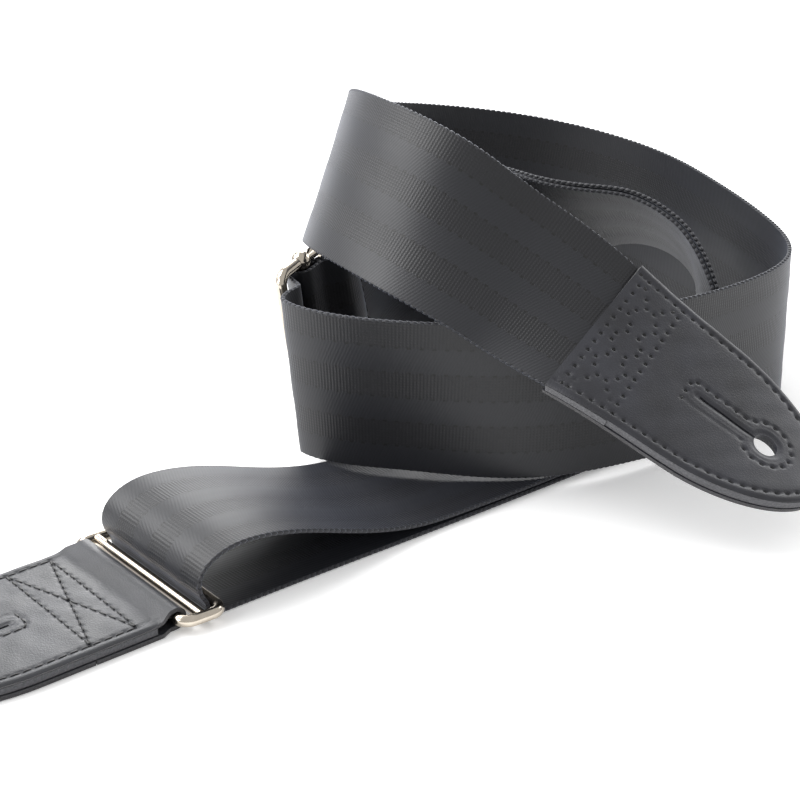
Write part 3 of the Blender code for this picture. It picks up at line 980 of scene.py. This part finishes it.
@dataclass
class Webbing:
    """The one length of webbing, its braided edges and the seam that holds its tail.

    Attributes:
        route: where it runs.
        finishes: the materials.
        yarn_pitch: distance from one edge bead to the next, in millimetres.
        columns: faces across the webbing.
        panels: how many lengthwise panels the weave has.
        panel_step: how far a panel stands off the webbing's middle height.
        seam_at: distance of the tail's seam from the slider's centre bar.
        seam_rows: its rows, as distances from there.
    """

    route: StrapRoute
    finishes: Finishes
    yarn_pitch: float = 2.0
    columns: int = 24
    panels: int = 6
    panel_step: float = 0.05
    seam_at: float = 22.0
    seam_rows: tuple[float, float] = (0.0, -3.5)

    def build(self) -> None:
        ribs = self.route.whole()
        band = self.band(ribs)
        edges = [self.edge(ribs, side) for side in Side]
        seam = self.tail_seam()
        nodes = ("webbing_shoulder_run", "webbing_main_layer", "webbing_return_layer")
        finish_piece(band, "strap", "webbing", *nodes)
        for edge in edges:
            finish_piece(edge, "strap", "webbing")
        finish_piece(seam, "strap", "thread", "webbing_end_seam_thread")

    def band(self, ribs: Sequence[Rib]) -> bpy.types.Object:
        """The woven band, with panels that stand a little proud of each other.

        Args:
            ribs: the webbing's ribs.

        Returns:
            The band.
        """

        def relief(places: np.ndarray, asides: np.ndarray) -> np.ndarray:
            """Height of the panels off the middle of the webbing."""
            from_edge = asides + self.route.width / 2
            return self.panel_step * np.sign(np.sin(from_edge * math.pi * self.panels / self.route.width))

        slots = [self.finishes.outer, self.finishes.inner, self.finishes.selvedge]
        made = strip_object("webbing_band", ribs, self.columns, slots, relief)
        for loop in made.data.uv_layers["flat"].data:
            loop.uv[1] += self.route.width / 2
        thicken(made, self.route.thickness - 0.1, 0.0, back=1, rim=2)
        return applied(made)

    def edge(self, ribs: Sequence[Rib], side: Side) -> bpy.types.Object:
        """The braided yarn along one edge, as overlapping slanted beads.

        Args:
            ribs: the webbing's ribs.
            side: which edge.

        Returns:
            The yarn.
        """
        points = np.array([rib.centre + rib.across * (rib.half - 0.25) * side.value for rib in ribs])
        knots = chord_lengths(points)
        places = []
        for place in np.arange(20.0, knots[-1] - 1.0, self.yarn_pitch):
            i = int(np.clip(np.searchsorted(knots, place) - 1, 0, len(ribs) - 2))
            share = (place - knots[i]) / max(knots[i + 1] - knots[i], 1e-6)
            centre = Vector(points[i] * (1 - share) + points[i + 1] * share)
            heading = Vector(points[i + 1] - points[i]).normalized()
            slant = (heading + ribs[i].across * side.value * 0.32).normalized()
            places.append((centre, slant, ribs[i].normal))
        size = (1.35, 0.62, self.route.thickness / 2 + 0.02)
        name = f"webbing_selvedge_{side.name.lower()}"
        return bead_run(name, places, size, self.finishes.selvedge, (8, 4))

    def tail_seam(self) -> bpy.types.Object:
        """The stitches across the tail beside the slider.

        Returns:
            The stitches, as one object.
        """
        place = self.route.slider_at + self.seam_at
        rib = self.route.layer(place, 2)
        _, heading, across, inward = self.route.section(place)
        base = rib.centre + inward * (self.route.thickness / 2 + 0.1)
        stitches = []
        for row in self.seam_rows:
            for aside in np.arange(-21.5, 21.6, 3.3):
                stitches.append((base + across * aside + heading * row, across, inward))
        return bead_run("webbing_end_stitches", stitches, (1.3, 0.4, 0.35), self.finishes.thread)


# ---------------------------------------------------------------- leather ends


Stitch = tuple[float, float, float, float]


@dataclass
class TabShape:
    """The flat shape that both leather ends share, in millimetres."""

    length: float = 79.0
    half: float = 25.5
    round_start: float = 40.0
    hole_at: float = 58.5
    hole: float = 4.5
    slit_start: float = 35.0
    slit: float = 1.4
    inset: float = 2.9
    keyhole_seam: float = 3.5
    stitch: float = 3.4

    def half_at(self, place: float) -> float:
        """Half the width at a distance from the base.

        Args:
            place: distance from the base.

        Returns:
            Half the width there.
        """
        if place <= self.round_start:
            return self.half
        share = min((place - self.round_start) / (self.length - self.round_start), 1.0)
        return self.half * math.sqrt(1 - share * share)

    def rows(self, start: float, fine: float = 0.55) -> list[float]:
        """Distances from the base, evenly to the round end and then closer together.

        Args:
            start: the first distance.
            fine: about how far apart they lie before the round end.

        Returns:
            The distances, rising.
        """
        count = max(2, int((self.round_start - start) / fine))
        straight = list(np.linspace(start, self.round_start, count, endpoint=False))
        turn = np.linspace(0, math.radians(88.5), 84)
        return straight + [self.round_start + (self.length - self.round_start) * math.sin(a) for a in turn]

    def edge_distance(self, places: np.ndarray, asides: np.ndarray) -> np.ndarray:
        """Distance in from the outline, by a first-order estimate on the round end.

        Args:
            places: distances from the base.
            asides: distances from the middle line.

        Returns:
            The distance of each point.
        """
        long = self.length - self.round_start
        beyond = np.maximum(places - self.round_start, 0)
        radius = np.sqrt((beyond / long) ** 2 + (asides / self.half) ** 2)
        slope = np.sqrt((beyond / long**2) ** 2 + (asides / self.half**2) ** 2) / np.maximum(radius, 1e-6)
        rounded = (1 - radius) / np.maximum(slope, 1e-6)
        return np.where(places > self.round_start, rounded, self.half - np.abs(asides))

    def keyhole_distance(self, places: np.ndarray, asides: np.ndarray) -> np.ndarray:
        """Distance from the keyhole's own edge, negative inside it.

        Args:
            places: distances from the base.
            asides: distances from the middle line.

        Returns:
            The distance of each point.
        """
        hole = np.hypot(places - self.hole_at, asides) - self.hole
        along = np.clip(places, self.slit_start, self.hole_at)
        slit = np.hypot(places - along, asides) - self.slit / 2
        return np.minimum(hole, slit)

    def keyhole(self, margin: float) -> list[tuple[float, float]]:
        """The keyhole's outline, grown by a margin, as place and aside.

        Args:
            margin: how far it is grown, negative to shrink it.

        Returns:
            Its points in order.
        """
        radius = self.hole + margin
        half = max(self.slit / 2 + margin, 0.4)
        opening = math.asin(min(half / radius, 0.95))
        points = [(self.slit_start - margin, -half), (self.slit_start - margin, half)]
        for i in range(49):
            angle = math.pi - opening - i * (2 * math.pi - 2 * opening) / 48
            points.append((self.hole_at + radius * math.cos(angle), radius * math.sin(angle)))
        return points

    def edge_line(self, start: float) -> list[tuple[float, float]]:
        """The line of the edge seam, from one corner of the base to the other.

        Args:
            start: distance from the base where it starts.

        Returns:
            Its points in order.
        """
        side = [(place, self.half - self.inset) for place in np.arange(start, self.round_start, 2.0)]
        long = self.length - self.round_start - self.inset
        for angle in np.linspace(0, math.pi / 2, 30)[:-1]:
            aside = (self.half - self.inset) * math.cos(angle)
            side.append((self.round_start + long * math.sin(angle), aside))
        tip = [(self.round_start + long, 0.0)]
        return side + tip + [(place, -aside) for place, aside in reversed(side)]

    def stitch_up(self, line: Sequence[tuple[float, float]]) -> list[Stitch]:
        """Stitches of even length along a line: each as its two ends, (place, aside) twice.

        Args:
            line: the line's points.

        Returns:
            The stitches in order.
        """
        points = np.array(line)
        knots = chord_lengths(points)
        count = max(1, round(knots[-1] / self.stitch))
        marks = np.linspace(0, knots[-1], count + 1)
        ends = np.array([[np.interp(mark, knots, points[:, k]) for k in (0, 1)] for mark in marks])
        return [(*first, *second) for first, second in zip(ends, ends[1:])]


@dataclass
class LeatherRelief:
    """The padded surface of a leather end: swell, seam grooves, needle pits and the pressed keyhole.

    Attributes:
        shape: the flat shape.
        stitches: every stitch, whose two ends are needle pits.
        swell: height of the padding inside the edge seam, in millimetres.
        groove: depth of a seam's groove.
        pit: depth of a needle pit where two stitches meet.
        pit_radius: its radius.
    """

    shape: TabShape
    stitches: list[Stitch]
    swell: float = 0.35
    groove: float = 0.14
    pit: float = 0.75
    pit_radius: float = 0.6

    @staticmethod
    def ridge(distance: np.ndarray, middle: float, width: float) -> np.ndarray:
        """A rounded ridge of height 1 at a distance from a line."""
        return np.exp(-(((distance - middle) / width) ** 2))

    def __call__(self, places: np.ndarray, asides: np.ndarray) -> np.ndarray:
        """How far each point stands off the leather's flat surface, in millimetres.

        Args:
            places: distances from the base.
            asides: distances from the middle line.

        Returns:
            The lift of each point.
        """
        edge = np.maximum(self.shape.edge_distance(places, asides), 0)
        inside = np.maximum(edge - self.shape.inset, 0)
        lift = self.swell * (1 - np.exp(-inside / 5.0))
        lift += 0.08 * self.ridge(edge, 1.6, 0.8) - 0.6 * np.exp(-edge / 0.4)
        lift -= self.groove * self.ridge(edge, self.shape.inset, 0.75)
        slot = np.maximum(self.shape.keyhole_distance(places, asides), 0)
        lift -= 0.5 * np.exp(-slot / 0.45)
        lift -= self.groove * self.ridge(slot, self.shape.keyhole_seam, 0.7)
        lift -= 0.14 * self.ridge(slot, 1.7, 0.3)
        for first_place, first_aside, last_place, last_aside in self.stitches:
            for place, aside in ((first_place, first_aside), (last_place, last_aside)):
                near = ((places - place) ** 2 + (asides - aside) ** 2) / self.pit_radius**2
                lift -= 0.5 * self.pit * np.exp(-near * near)
        lift += 0.05 * np.sin(places * 0.61 + 0.9 * np.sin(asides * 0.23)) * np.sin(asides * 0.37 + 1.1)
        return lift


@dataclass
class LeatherEnd:
    """Shared parts of the two leather ends.

    Attributes:
        route: where the strap runs.
        finishes: the materials.
        shape: the flat shape.
        leather: thickness of one leather.
        columns: faces across the face leather.
        plain_columns: faces across a plain layer.
        core_inset: how far the core stands in from the leathers' edges.
        body: the moving body that the end belongs to.
        seam_share: where a stitch's bead lies, from 0 at its first pit to 0.5 midway.
        seam_proud: how far its middle stands off the leather.
        bead: its half length, half width and half height.
    """

    route: StrapRoute
    finishes: Finishes
    shape: TabShape = field(default_factory=TabShape)
    leather: float = 1.2
    columns: int = 96
    plain_columns: int = 40
    core_inset: float = 0.5
    body: str = "strap"
    seam_share: float = 0.0
    seam_proud: float = 0.12
    bead: tuple[float, float, float] = (0.85, 0.5, 0.3)

    def point(self, place: float, aside: float, lift: float) -> Vector:
        """A point at a place from the base, a distance aside and a lift."""
        raise NotImplementedError

    def outward(self, place: float) -> Vector:
        """The way the face looks at a place."""
        raise NotImplementedError

    def bore(self, piece: bpy.types.Object, margin: float, low: float, high: float) -> None:
        """Cut the keyhole through a layer.

        Args:
            piece: the layer, with its modifiers still live.
            margin: how much wider than the keyhole the cut is all round.
            low: lift at which the cut starts.
            high: lift at which it ends.
        """
        applied(piece)
        outline = self.shape.keyhole(margin)
        shape = bmesh.new()
        caps = []
        for lift in (low, high):
            caps.append(shape.faces.new([shape.verts.new(self.bored(*at, lift) * MM) for at in outline]))
        bmesh.ops.bridge_loops(shape, edges=[edge for cap in caps for edge in cap.edges])
        bmesh.ops.recalc_face_normals(shape, faces=shape.faces)
        boolean(piece, object_from(shape, "keyhole_cutter", []), "DIFFERENCE")

    def bored(self, place: float, aside: float, lift: float) -> Vector:
        """A point of the keyhole's straight bore."""
        return self.point(place, aside, 0) + self.outward(self.shape.hole_at) * lift

    def sew(
        self, name: str, node: str, stitches: Sequence[Stitch], relief: LeatherRelief, top: float
    ) -> None:
        """Lay a seam on the face.

        Args:
            name: the seam's name.
            node: the CAD node that it stands for.
            stitches: its stitches.
            relief: the face's relief.
            top: lift of the face's flat surface.
        """
        places = []
        for first_place, first_aside, last_place, last_aside in stitches:
            place = first_place + (last_place - first_place) * self.seam_share
            aside = first_aside + (last_aside - first_aside) * self.seam_share
            lift = top + float(relief(np.array([place]), np.array([aside]))[0])
            along = self.point(last_place, last_aside, top) - self.point(first_place, first_aside, top)
            centre = self.point(place, aside, lift + self.seam_proud)
            places.append((centre, along.normalized(), self.outward(place)))
        seam = bead_run(name, places, self.bead, self.finishes.thread)
        finish_piece(seam, self.body, "thread", node)


@dataclass
class FrontEnd(LeatherEnd):
    """The padded leather end that the webbing runs into.

    Attributes:
        tab_gap: room between the webbing and each leather.
    """

    tab_gap: float = 0.6

    def point(self, place: float, aside: float, lift: float) -> Vector:
        """A point at a place, distance aside and lift out of the webbing's middle."""
        centre, _, across, inward = self.route.section(self.route.tab_base - place)
        return centre + across * aside - inward * lift

    def outward(self, place: float) -> Vector:
        """Away from the inside of the coil."""
        return -self.route.section(self.route.tab_base - place)[3]

    def ribs(self, start: float, lift: float, inset: float = 0.0) -> list[Rib]:
        """Ribs from the base to the tip at a lift off the webbing's middle.

        Args:
            start: distance from the base where they start.
            lift: the lift.
            inset: how far they stand in from the outline.

        Returns:
            The ribs in order.
        """
        found = []
        for place in self.shape.rows(start):
            across = self.route.section(self.route.tab_base - place)[2]
            half = max(self.shape.half_at(place) - inset, 0.2)
            found.append(Rib(self.point(place, 0, lift), across, half, place, self.outward(place)))
        return found

    def webbing_line(self) -> list[list[tuple[float, float]]]:
        """The seams over the webbing: two cross rows, each with a zigzag beside it.

        Returns:
            The lines of the seams.
        """
        reach = self.shape.half - self.shape.inset
        lines = []
        for row, turn, swing in ((3.0, 5.2, 4.2), (18.0, 15.8, -4.2)):
            lines.append([(row, -reach), (row, reach)])
            lines.append([(turn + swing * (i % 2), (reach - 3.0) * (1 - i / 4)) for i in range(9)])
        return lines

    def build(self) -> None:
        """Build the face, the core, the backing and the three kinds of seam."""
        stand = self.route.thickness / 2 + self.tab_gap
        edge = self.shape.stitch_up(self.shape.edge_line(1.5))
        over = [stitch for line in self.webbing_line() for stitch in self.shape.stitch_up(line)]
        slot = self.shape.stitch_up(self.shape.keyhole(self.shape.keyhole_seam))
        relief = LeatherRelief(self.shape, edge + over + slot)
        top = stand + self.leather
        skins = [self.finishes.leather, self.finishes.edge]
        face = strip_object("front_tab_face", self.ribs(0.0, top), self.columns, skins, relief)
        thicken(face, self.leather, -1.0, rim=1)
        core_start = self.route.in_tab + self.route.gap
        core = strip_object("front_tab_middle", self.ribs(core_start, 0.0, self.core_inset),
                            self.plain_columns, [self.finishes.pale_edge])
        thicken(core, 2 * stand - 0.15, 0.0)
        back = strip_object("front_tab_back", self.ribs(0.0, -stand - self.leather / 2),
                            self.plain_columns, skins)
        thicken(back, self.leather, 0.0, rim=1)
        for piece, margin in ((face, -0.8), (core, 0.5), (back, 1.6)):
            self.bore(piece, margin, -8.0, 8.0)
        for side in Side:
            finish_piece(self.filler(side, 2 * stand - 0.15), self.body, "leather_core")
        finish_piece(face, self.body, "leather", "front_tab_face_leather")
        finish_piece(core, self.body, "leather_core", "front_tab_core")
        finish_piece(back, self.body, "leather", "front_tab_backing_leather")
        self.sew("front_tab_edge_stitches", "front_tab_edge_thread", edge, relief, top)
        self.sew("front_tab_webbing_stitches", "front_tab_webbing_thread", over, relief, top)
        self.sew("front_tab_keyhole_stitches", "front_tab_keyhole_thread", slot, relief, top)

    def filler(self, side: Side, thickness: float) -> bpy.types.Object:
        """The narrow strip of core beside the webbing, along one edge.

        Args:
            side: which edge.
            thickness: the core's thickness.

        Returns:
            The strip.
        """
        aside = (self.shape.half - self.core_inset) * side.value
        ribs = []
        for place in np.linspace(self.route.gap, self.route.in_tab + self.route.gap, 24):
            across = self.route.section(self.route.tab_base - place)[2]
            ribs.append(Rib(self.point(place, aside, 0), across, 0.35, place, self.outward(place)))
        made = strip_object(f"front_tab_filler_{side.name.lower()}", ribs, 2, [self.finishes.pale_edge])
        thicken(made, thickness, 0.0)
        return applied(made)


@dataclass
class RearEnd(LeatherEnd):
    """The leather end whose face folds round the ring's far bar.

    Attributes:
        flap: how far from the base the folded face ends below.
        core: thickness of the core.
    """

    flap: float = 24.0
    core: float = 1.4
    body: str = "rear_tab"
    seam_share: float = 0.5
    seam_proud: float = 0.06
    bead: tuple[float, float, float] = (1.36, 0.34, 0.24)

    def __post_init__(self) -> None:
        """Work out the heights of the layers."""
        gap = self.route.gap
        self.bar_x = self.route.ring_bar[0] - 2 * self.route.ring_pitch
        self.base_x = self.bar_x - 1.5
        self.eye = self.route.ring_wire + gap + self.leather / 2
        self.back_z = self.route.ring_height - self.eye
        self.core_z = self.back_z + self.leather / 2 + gap + self.core / 2
        self.face_z = self.core_z + self.core / 2 + gap + self.leather / 2

    def point(self, place: float, aside: float, lift: float) -> Vector:
        """A point at a place from the base, a distance aside and a height."""
        middle = Vector((self.base_x - place, self.route.ring_bar[1], lift))
        return middle + self.route.rear_across() * aside

    def outward(self, place: float) -> Vector:
        """Straight up, wherever the place is."""
        return Vector((0, 0, 1))

    def fold(self) -> list[tuple[float, float]]:
        """The face's path from the flat, over the ring's bar and back under as a flap, as x and z.

        Returns:
            Its points in order.
        """
        height, bar_x = self.route.ring_height, self.bar_x
        guide = [
            (bar_x - 10.5, self.face_z),
            (bar_x - 8.5, self.face_z + 0.02),
            (bar_x - 6.5, self.face_z + 0.25),
            (bar_x - 4.2, self.face_z + 0.9),
            (bar_x - 2.4, height + self.eye - 0.45),
            (bar_x - 0.9, height + self.eye - 0.05),
        ]
        for degrees in range(75, -91, -15):
            angle = math.radians(degrees)
            guide.append((bar_x + self.eye * math.cos(angle), height + self.eye * math.sin(angle)))
        guide += [(x, self.back_z) for x in (bar_x - 3.0, bar_x - 6.0, self.base_x - self.flap)]
        points = np.array(guide)
        knots = chord_lengths(points)
        curve = natural_spline(knots, points)
        return [tuple(curve(place)) for place in np.arange(0.4, knots[-1], 0.45)]

    def face_ribs(self) -> list[Rib]:
        """The face's top surface from the tip, over the ring's bar and back under as a flap.

        Returns:
            The ribs in order.
        """
        flat = [(self.base_x - place, self.face_z) for place in self.shape.rows(9.0)[::-1]]
        ribs = []
        for index, (x, z) in enumerate(flat + self.fold()):
            place = self.base_x - x
            narrow = 1.5 * float(np.clip((x - self.bar_x + 5.0) / 3.0, 0, 1))
            half = max(self.shape.half_at(place) - narrow, 0.2)
            ribs.append(Rib(Vector((x, self.route.ring_bar[1], z)), self.route.rear_across(), half, place))
            if index >= len(flat):
                ribs[-1].place = ribs[-2].place - (ribs[-1].centre - ribs[-2].centre).length
        face_ribs(ribs)
        for rib in ribs:
            rib.centre = rib.centre + rib.normal * self.leather / 2
        return ribs

    def flat_ribs(self, start: float, z: float, inset: float) -> list[Rib]:
        """Ribs of a flat layer from a start place to the tip.

        Args:
            start: distance from the base where they start.
            z: height of the layer's middle.
            inset: how far they stand in from the outline.

        Returns:
            The ribs in order.
        """
        found = []
        for place in self.shape.rows(start):
            half = max(self.shape.half_at(place) - inset, 0.2)
            found.append(Rib(self.point(place, 0, z), self.route.rear_across(), half, place))
        return found

    def cross_box(self) -> list[list[tuple[float, float]]]:
        """The box with a cross that closes the fold.

        Returns:
            The lines of the seams.
        """
        half, near, far = self.shape.half - self.shape.inset, 10.0, 24.0
        return [[(near, -half), (near, half)], [(far, -half), (far, half)],
                [(near, -half), (far, half)], [(near, half), (far, -half)]]

    def build(self) -> None:
        """Build the face, the core, the backing and the seams."""
        edge = self.shape.stitch_up(self.shape.edge_line(10.0))
        cross = [stitch for line in self.cross_box() for stitch in self.shape.stitch_up(line)]
        slot = self.shape.stitch_up(self.shape.keyhole(self.shape.keyhole_seam))
        relief = LeatherRelief(self.shape, edge + cross + slot, swell=0.2, groove=0.18, pit=0.3)

        def on_top(places: np.ndarray, asides: np.ndarray) -> np.ndarray:
            """The relief on the flat of the face, dying away over the bar."""
            return relief(places, asides) * np.clip((places - 2.0) / 6.0, 0, 1)

        skins = [self.finishes.rear_leather_painted_glare, self.finishes.edge]
        face = strip_object("rear_tab_face", self.face_ribs(), self.columns, skins, on_top)
        thicken(face, self.leather, -1.0, rim=1)
        core = strip_object("rear_tab_middle", self.flat_ribs(5.0, self.core_z, self.core_inset),
                            self.plain_columns, [self.finishes.pale_edge])
        thicken(core, self.core + self.route.gap, 0.0)
        back_start = self.flap + self.route.gap
        back = strip_object("rear_tab_back", self.flat_ribs(back_start, self.back_z, 0.0),
                            self.plain_columns, skins)
        thicken(back, self.leather, 0.0, rim=1)
        for piece, margin in ((face, -0.3), (core, 0.3), (back, 0.6)):
            self.bore(piece, margin, -4.0, 9.0)
        finish_piece(face, self.body, "leather", "rear_tab_face_leather")
        finish_piece(core, self.body, "leather_core", "rear_tab_core")
        finish_piece(back, self.body, "leather", "rear_tab_backing_leather")
        top = self.face_z + self.leather / 2
        self.sew("rear_tab_edge_stitches", "rear_tab_edge_thread", edge, relief, top)
        self.sew("rear_tab_cross_stitches", "rear_tab_box_x_thread", cross, relief, top)
        self.sew("rear_tab_keyhole_stitches", "rear_tab_keyhole_thread", slot, relief, top)


# ---------------------------------------------------------------- metal


def rounded_loop(half_x: float, half_y: float, corner: float, steps: int) -> list[tuple[float, float]]:
    """A rounded rectangle as points from the middle of its +x side.

    Args:
        half_x: half its length in x.
        half_y: half its length in y.
        corner: radius of its corners.
        steps: stretches in each corner.

    Returns:
        Its points in order.
    """
    points = [(half_x, 0.0)]
    for centre_x, centre_y, start in (
        (half_x - corner, half_y - corner, 0),
        (corner - half_x, half_y - corner, 90),
        (corner - half_x, corner - half_y, 180),
        (half_x - corner, corner - half_y, 270),
    ):
        for i in range(steps + 1):
            angle = math.radians(start + 90 * i / steps)
            points.append((centre_x + corner * math.cos(angle), centre_y + corner * math.sin(angle)))
    return points


@dataclass
class Hardware:
    """The wire slider with its beaded centre bar, and the rear ring with its cross bar."""

    route: StrapRoute
    finishes: Finishes
    slider_half: float = 27.0
    slider_corner: float = 3.4
    bead: float = 3.05
    joint_at: float = -8.0
    ring_half: float = 27.6
    ring_corner: float = 3.6

    def build(self) -> None:
        """Build the slider and the ring."""
        centre, heading, across, _ = self.route.section(self.route.slider_at)
        loop = rounded_loop(self.route.bar_offset, self.slider_half, self.slider_corner, 12)[1:]
        offset, gap = self.route.bar_offset, self.route.gap
        ends = [(offset, self.joint_at + gap / 2), *loop, (offset, self.joint_at - gap / 2)]
        wire = [centre - heading * x + across * y for x, y in ends]
        slider = wire_object("slider_wire", wire, self.route.wire, self.finishes.nickel)
        finish_piece(slider, "slider", "nickel", "slider_frame")
        reach = self.slider_half - 2.4
        bar = wire_object("slider_bar", [centre - across * reach, centre + across * reach],
                          self.route.centre_bar, self.finishes.nickel)
        finish_piece(bar, "slider", "nickel", "slider_centre_bar")
        for side in Side:
            place = centre + across * self.slider_half * side.value
            finish_piece(self.collar(f"slider_bead_{side.name.lower()}", place, heading), "slider", "nickel")
        self.ring()

    def collar(self, name: str, place: Vector, heading: Vector) -> bpy.types.Object:
        """A bead with the wire's bore through it, turned from its own profile.

        Args:
            name: the bead's name.
            place: its centre.
            heading: the way the wire runs through it.

        Returns:
            The bead.
        """
        shape = bmesh.new()
        bore = self.route.wire + 0.08
        start = math.acos(bore / self.bead)
        radius = self.bead * MM
        angles = np.linspace(start, -start, 15)
        ring = [shape.verts.new((radius * math.cos(a), 0, radius * math.sin(a))) for a in angles]
        loop = [shape.edges.new(pair) for pair in zip(ring, ring[1:])]
        loop.append(shape.edges.new((ring[-1], ring[0])))
        bmesh.ops.spin(shape, geom=ring + loop, cent=(0, 0, 0), axis=(0, 0, 1),
                       angle=2 * math.pi, steps=28, use_merge=True)
        bmesh.ops.remove_doubles(shape, verts=shape.verts, dist=1e-7)
        bmesh.ops.recalc_face_normals(shape, faces=shape.faces)
        turn = heading.to_track_quat("Z", "Y").to_matrix().to_4x4()
        bmesh.ops.transform(shape, matrix=Matrix.Translation(place * MM) @ turn, verts=shape.verts)
        made = object_from(shape, name, [self.finishes.nickel])
        made.data.set_sharp_from_angle(angle=SHARP_CORNER)
        return made

    def ring(self) -> None:
        """Build the rear ring and its bar, as two pieces that meet."""
        bar_x, bar_y = self.route.ring_bar
        middle = Vector((bar_x - self.route.ring_pitch, bar_y, self.route.ring_height))
        across = self.route.rear_across()
        along = across.cross(Vector((0, 0, 1)))
        loop = rounded_loop(self.route.ring_pitch, self.ring_half, self.ring_corner, 12)[1:]
        points = [middle + along * x + across * y for x, y in loop]
        ring = wire_object("ring_wire", points, self.route.ring_wire, self.finishes.nickel, closed=True)
        finish_piece(ring, "ring", "nickel", "rear_ring")
        reach = across * (self.ring_half - 0.8)
        bar = wire_object("ring_bar", [middle - reach, middle + reach], self.route.ring_wire - 0.15,
                          self.finishes.nickel)
        finish_piece(bar, "ring", "nickel")


# ---------------------------------------------------------------- studio


@dataclass(frozen=True)
class SoftBox:
    """A square soft light aimed at the strap.

    Attributes:
        name: its name.
        place: where it stands, in metres.
        size: its side, in metres.
        power: in watts.
    """

    name: str
    place: tuple[float, float, float]
    size: float
    power: float
    aim: tuple[float, float, float] = (0.02, 0.02, 0.03)

    def build(self) -> None:
        """Add the light."""
        lamp = bpy.data.lights.new(self.name, "AREA")
        lamp.size = self.size
        lamp.energy = self.power
        made = bpy.data.objects.new(self.name, lamp)
        made.location = self.place
        away = Vector(self.place) - Vector(self.aim)
        made.rotation_euler = away.to_track_quat("Z", "Y").to_euler()
        bpy.context.scene.collection.objects.link(made)


SOFT_BOXES = (
    SoftBox("key_light", (-0.45, 0.75, 0.95), 1.0, 20.0),
    SoftBox("fill_light", (-1.1, 0.2, 0.5), 0.7, 6.0),
    SoftBox("side_light", (1.0, 0.1, 0.5), 0.6, 3.0),
    SoftBox("back_light", (0.75, 0.87, 0.55), 0.8, 9.0),
)


@dataclass
class Studio:
    """The pale floor, the soft lights and the camera.

    Attributes:
        target: the point the camera looks at, in millimetres.
        azimuth: the camera's turn about the upright, in degrees.
        elevation: its rise above the floor, in degrees.
        distance: its distance from the target, in millimetres.
        lens: its focal length, in millimetres.
        daylight: strength of the light from all round.
        floor_gap: how far the floor lies under the strap, in metres.
    """

    target: tuple[float, float, float] = (37.5, 30.2, 0.0)
    azimuth: float = -40.6
    elevation: float = 24.1
    distance: float = 688.0
    lens: float = 96.0
    daylight: float = 0.7
    floor_gap: float = 0.00005

    def build(self) -> None:
        """Build the studio."""
        self.floor()
        for box in SOFT_BOXES:
            box.build()
        world = bpy.data.worlds.new("soft_white")
        world.use_nodes = True
        sky = world.node_tree.nodes["Background"]
        sky.inputs["Color"].default_value = (1, 1, 1, 1)
        sky.inputs["Strength"].default_value = self.daylight
        bpy.context.scene.world = world
        bpy.context.scene.view_settings.view_transform = "Standard"
        self.camera()

    def floor(self) -> None:
        """A wide matt floor just under the strap."""
        shape = bmesh.new()
        bmesh.ops.create_grid(shape, x_segments=2, y_segments=2, size=6.0)
        bmesh.ops.translate(shape, vec=(0, 0, -self.floor_gap), verts=shape.verts)
        object_from(shape, "sweep_floor", [PaleSweep().make()])

    def camera(self) -> None:
        """The camera, looking down at the strap from its front left."""
        turn, rise = math.radians(self.azimuth), math.radians(self.elevation)
        back = Vector((math.sin(turn) * math.cos(rise), -math.cos(turn) * math.cos(rise), math.sin(rise)))
        lens = bpy.data.cameras.new("studio_camera")
        lens.lens = self.lens
        lens.sensor_width = 36.0
        lens.clip_start = 0.01
        made = bpy.data.objects.new("studio_camera", lens)
        made.location = (Vector(self.target) + back * self.distance) * MM
        made.rotation_euler = back.to_track_quat("Z", "Y").to_euler()
        bpy.context.scene.collection.objects.link(made)
        bpy.context.scene.camera = made


def main() -> None:
    """Build every sub-assembly and the studio."""
    route = StrapRoute()
    finishes = make_finishes()
    Studio().build()
    Webbing(route, finishes).build()
    FrontEnd(route, finishes).build()
    RearEnd(route, finishes).build()
    Hardware(route, finishes).build()


if __name__ == "__main__":
    logging.basicConfig(level=logging.INFO, format="%(message)s")
    main()
    bpy.context.view_layer.update()
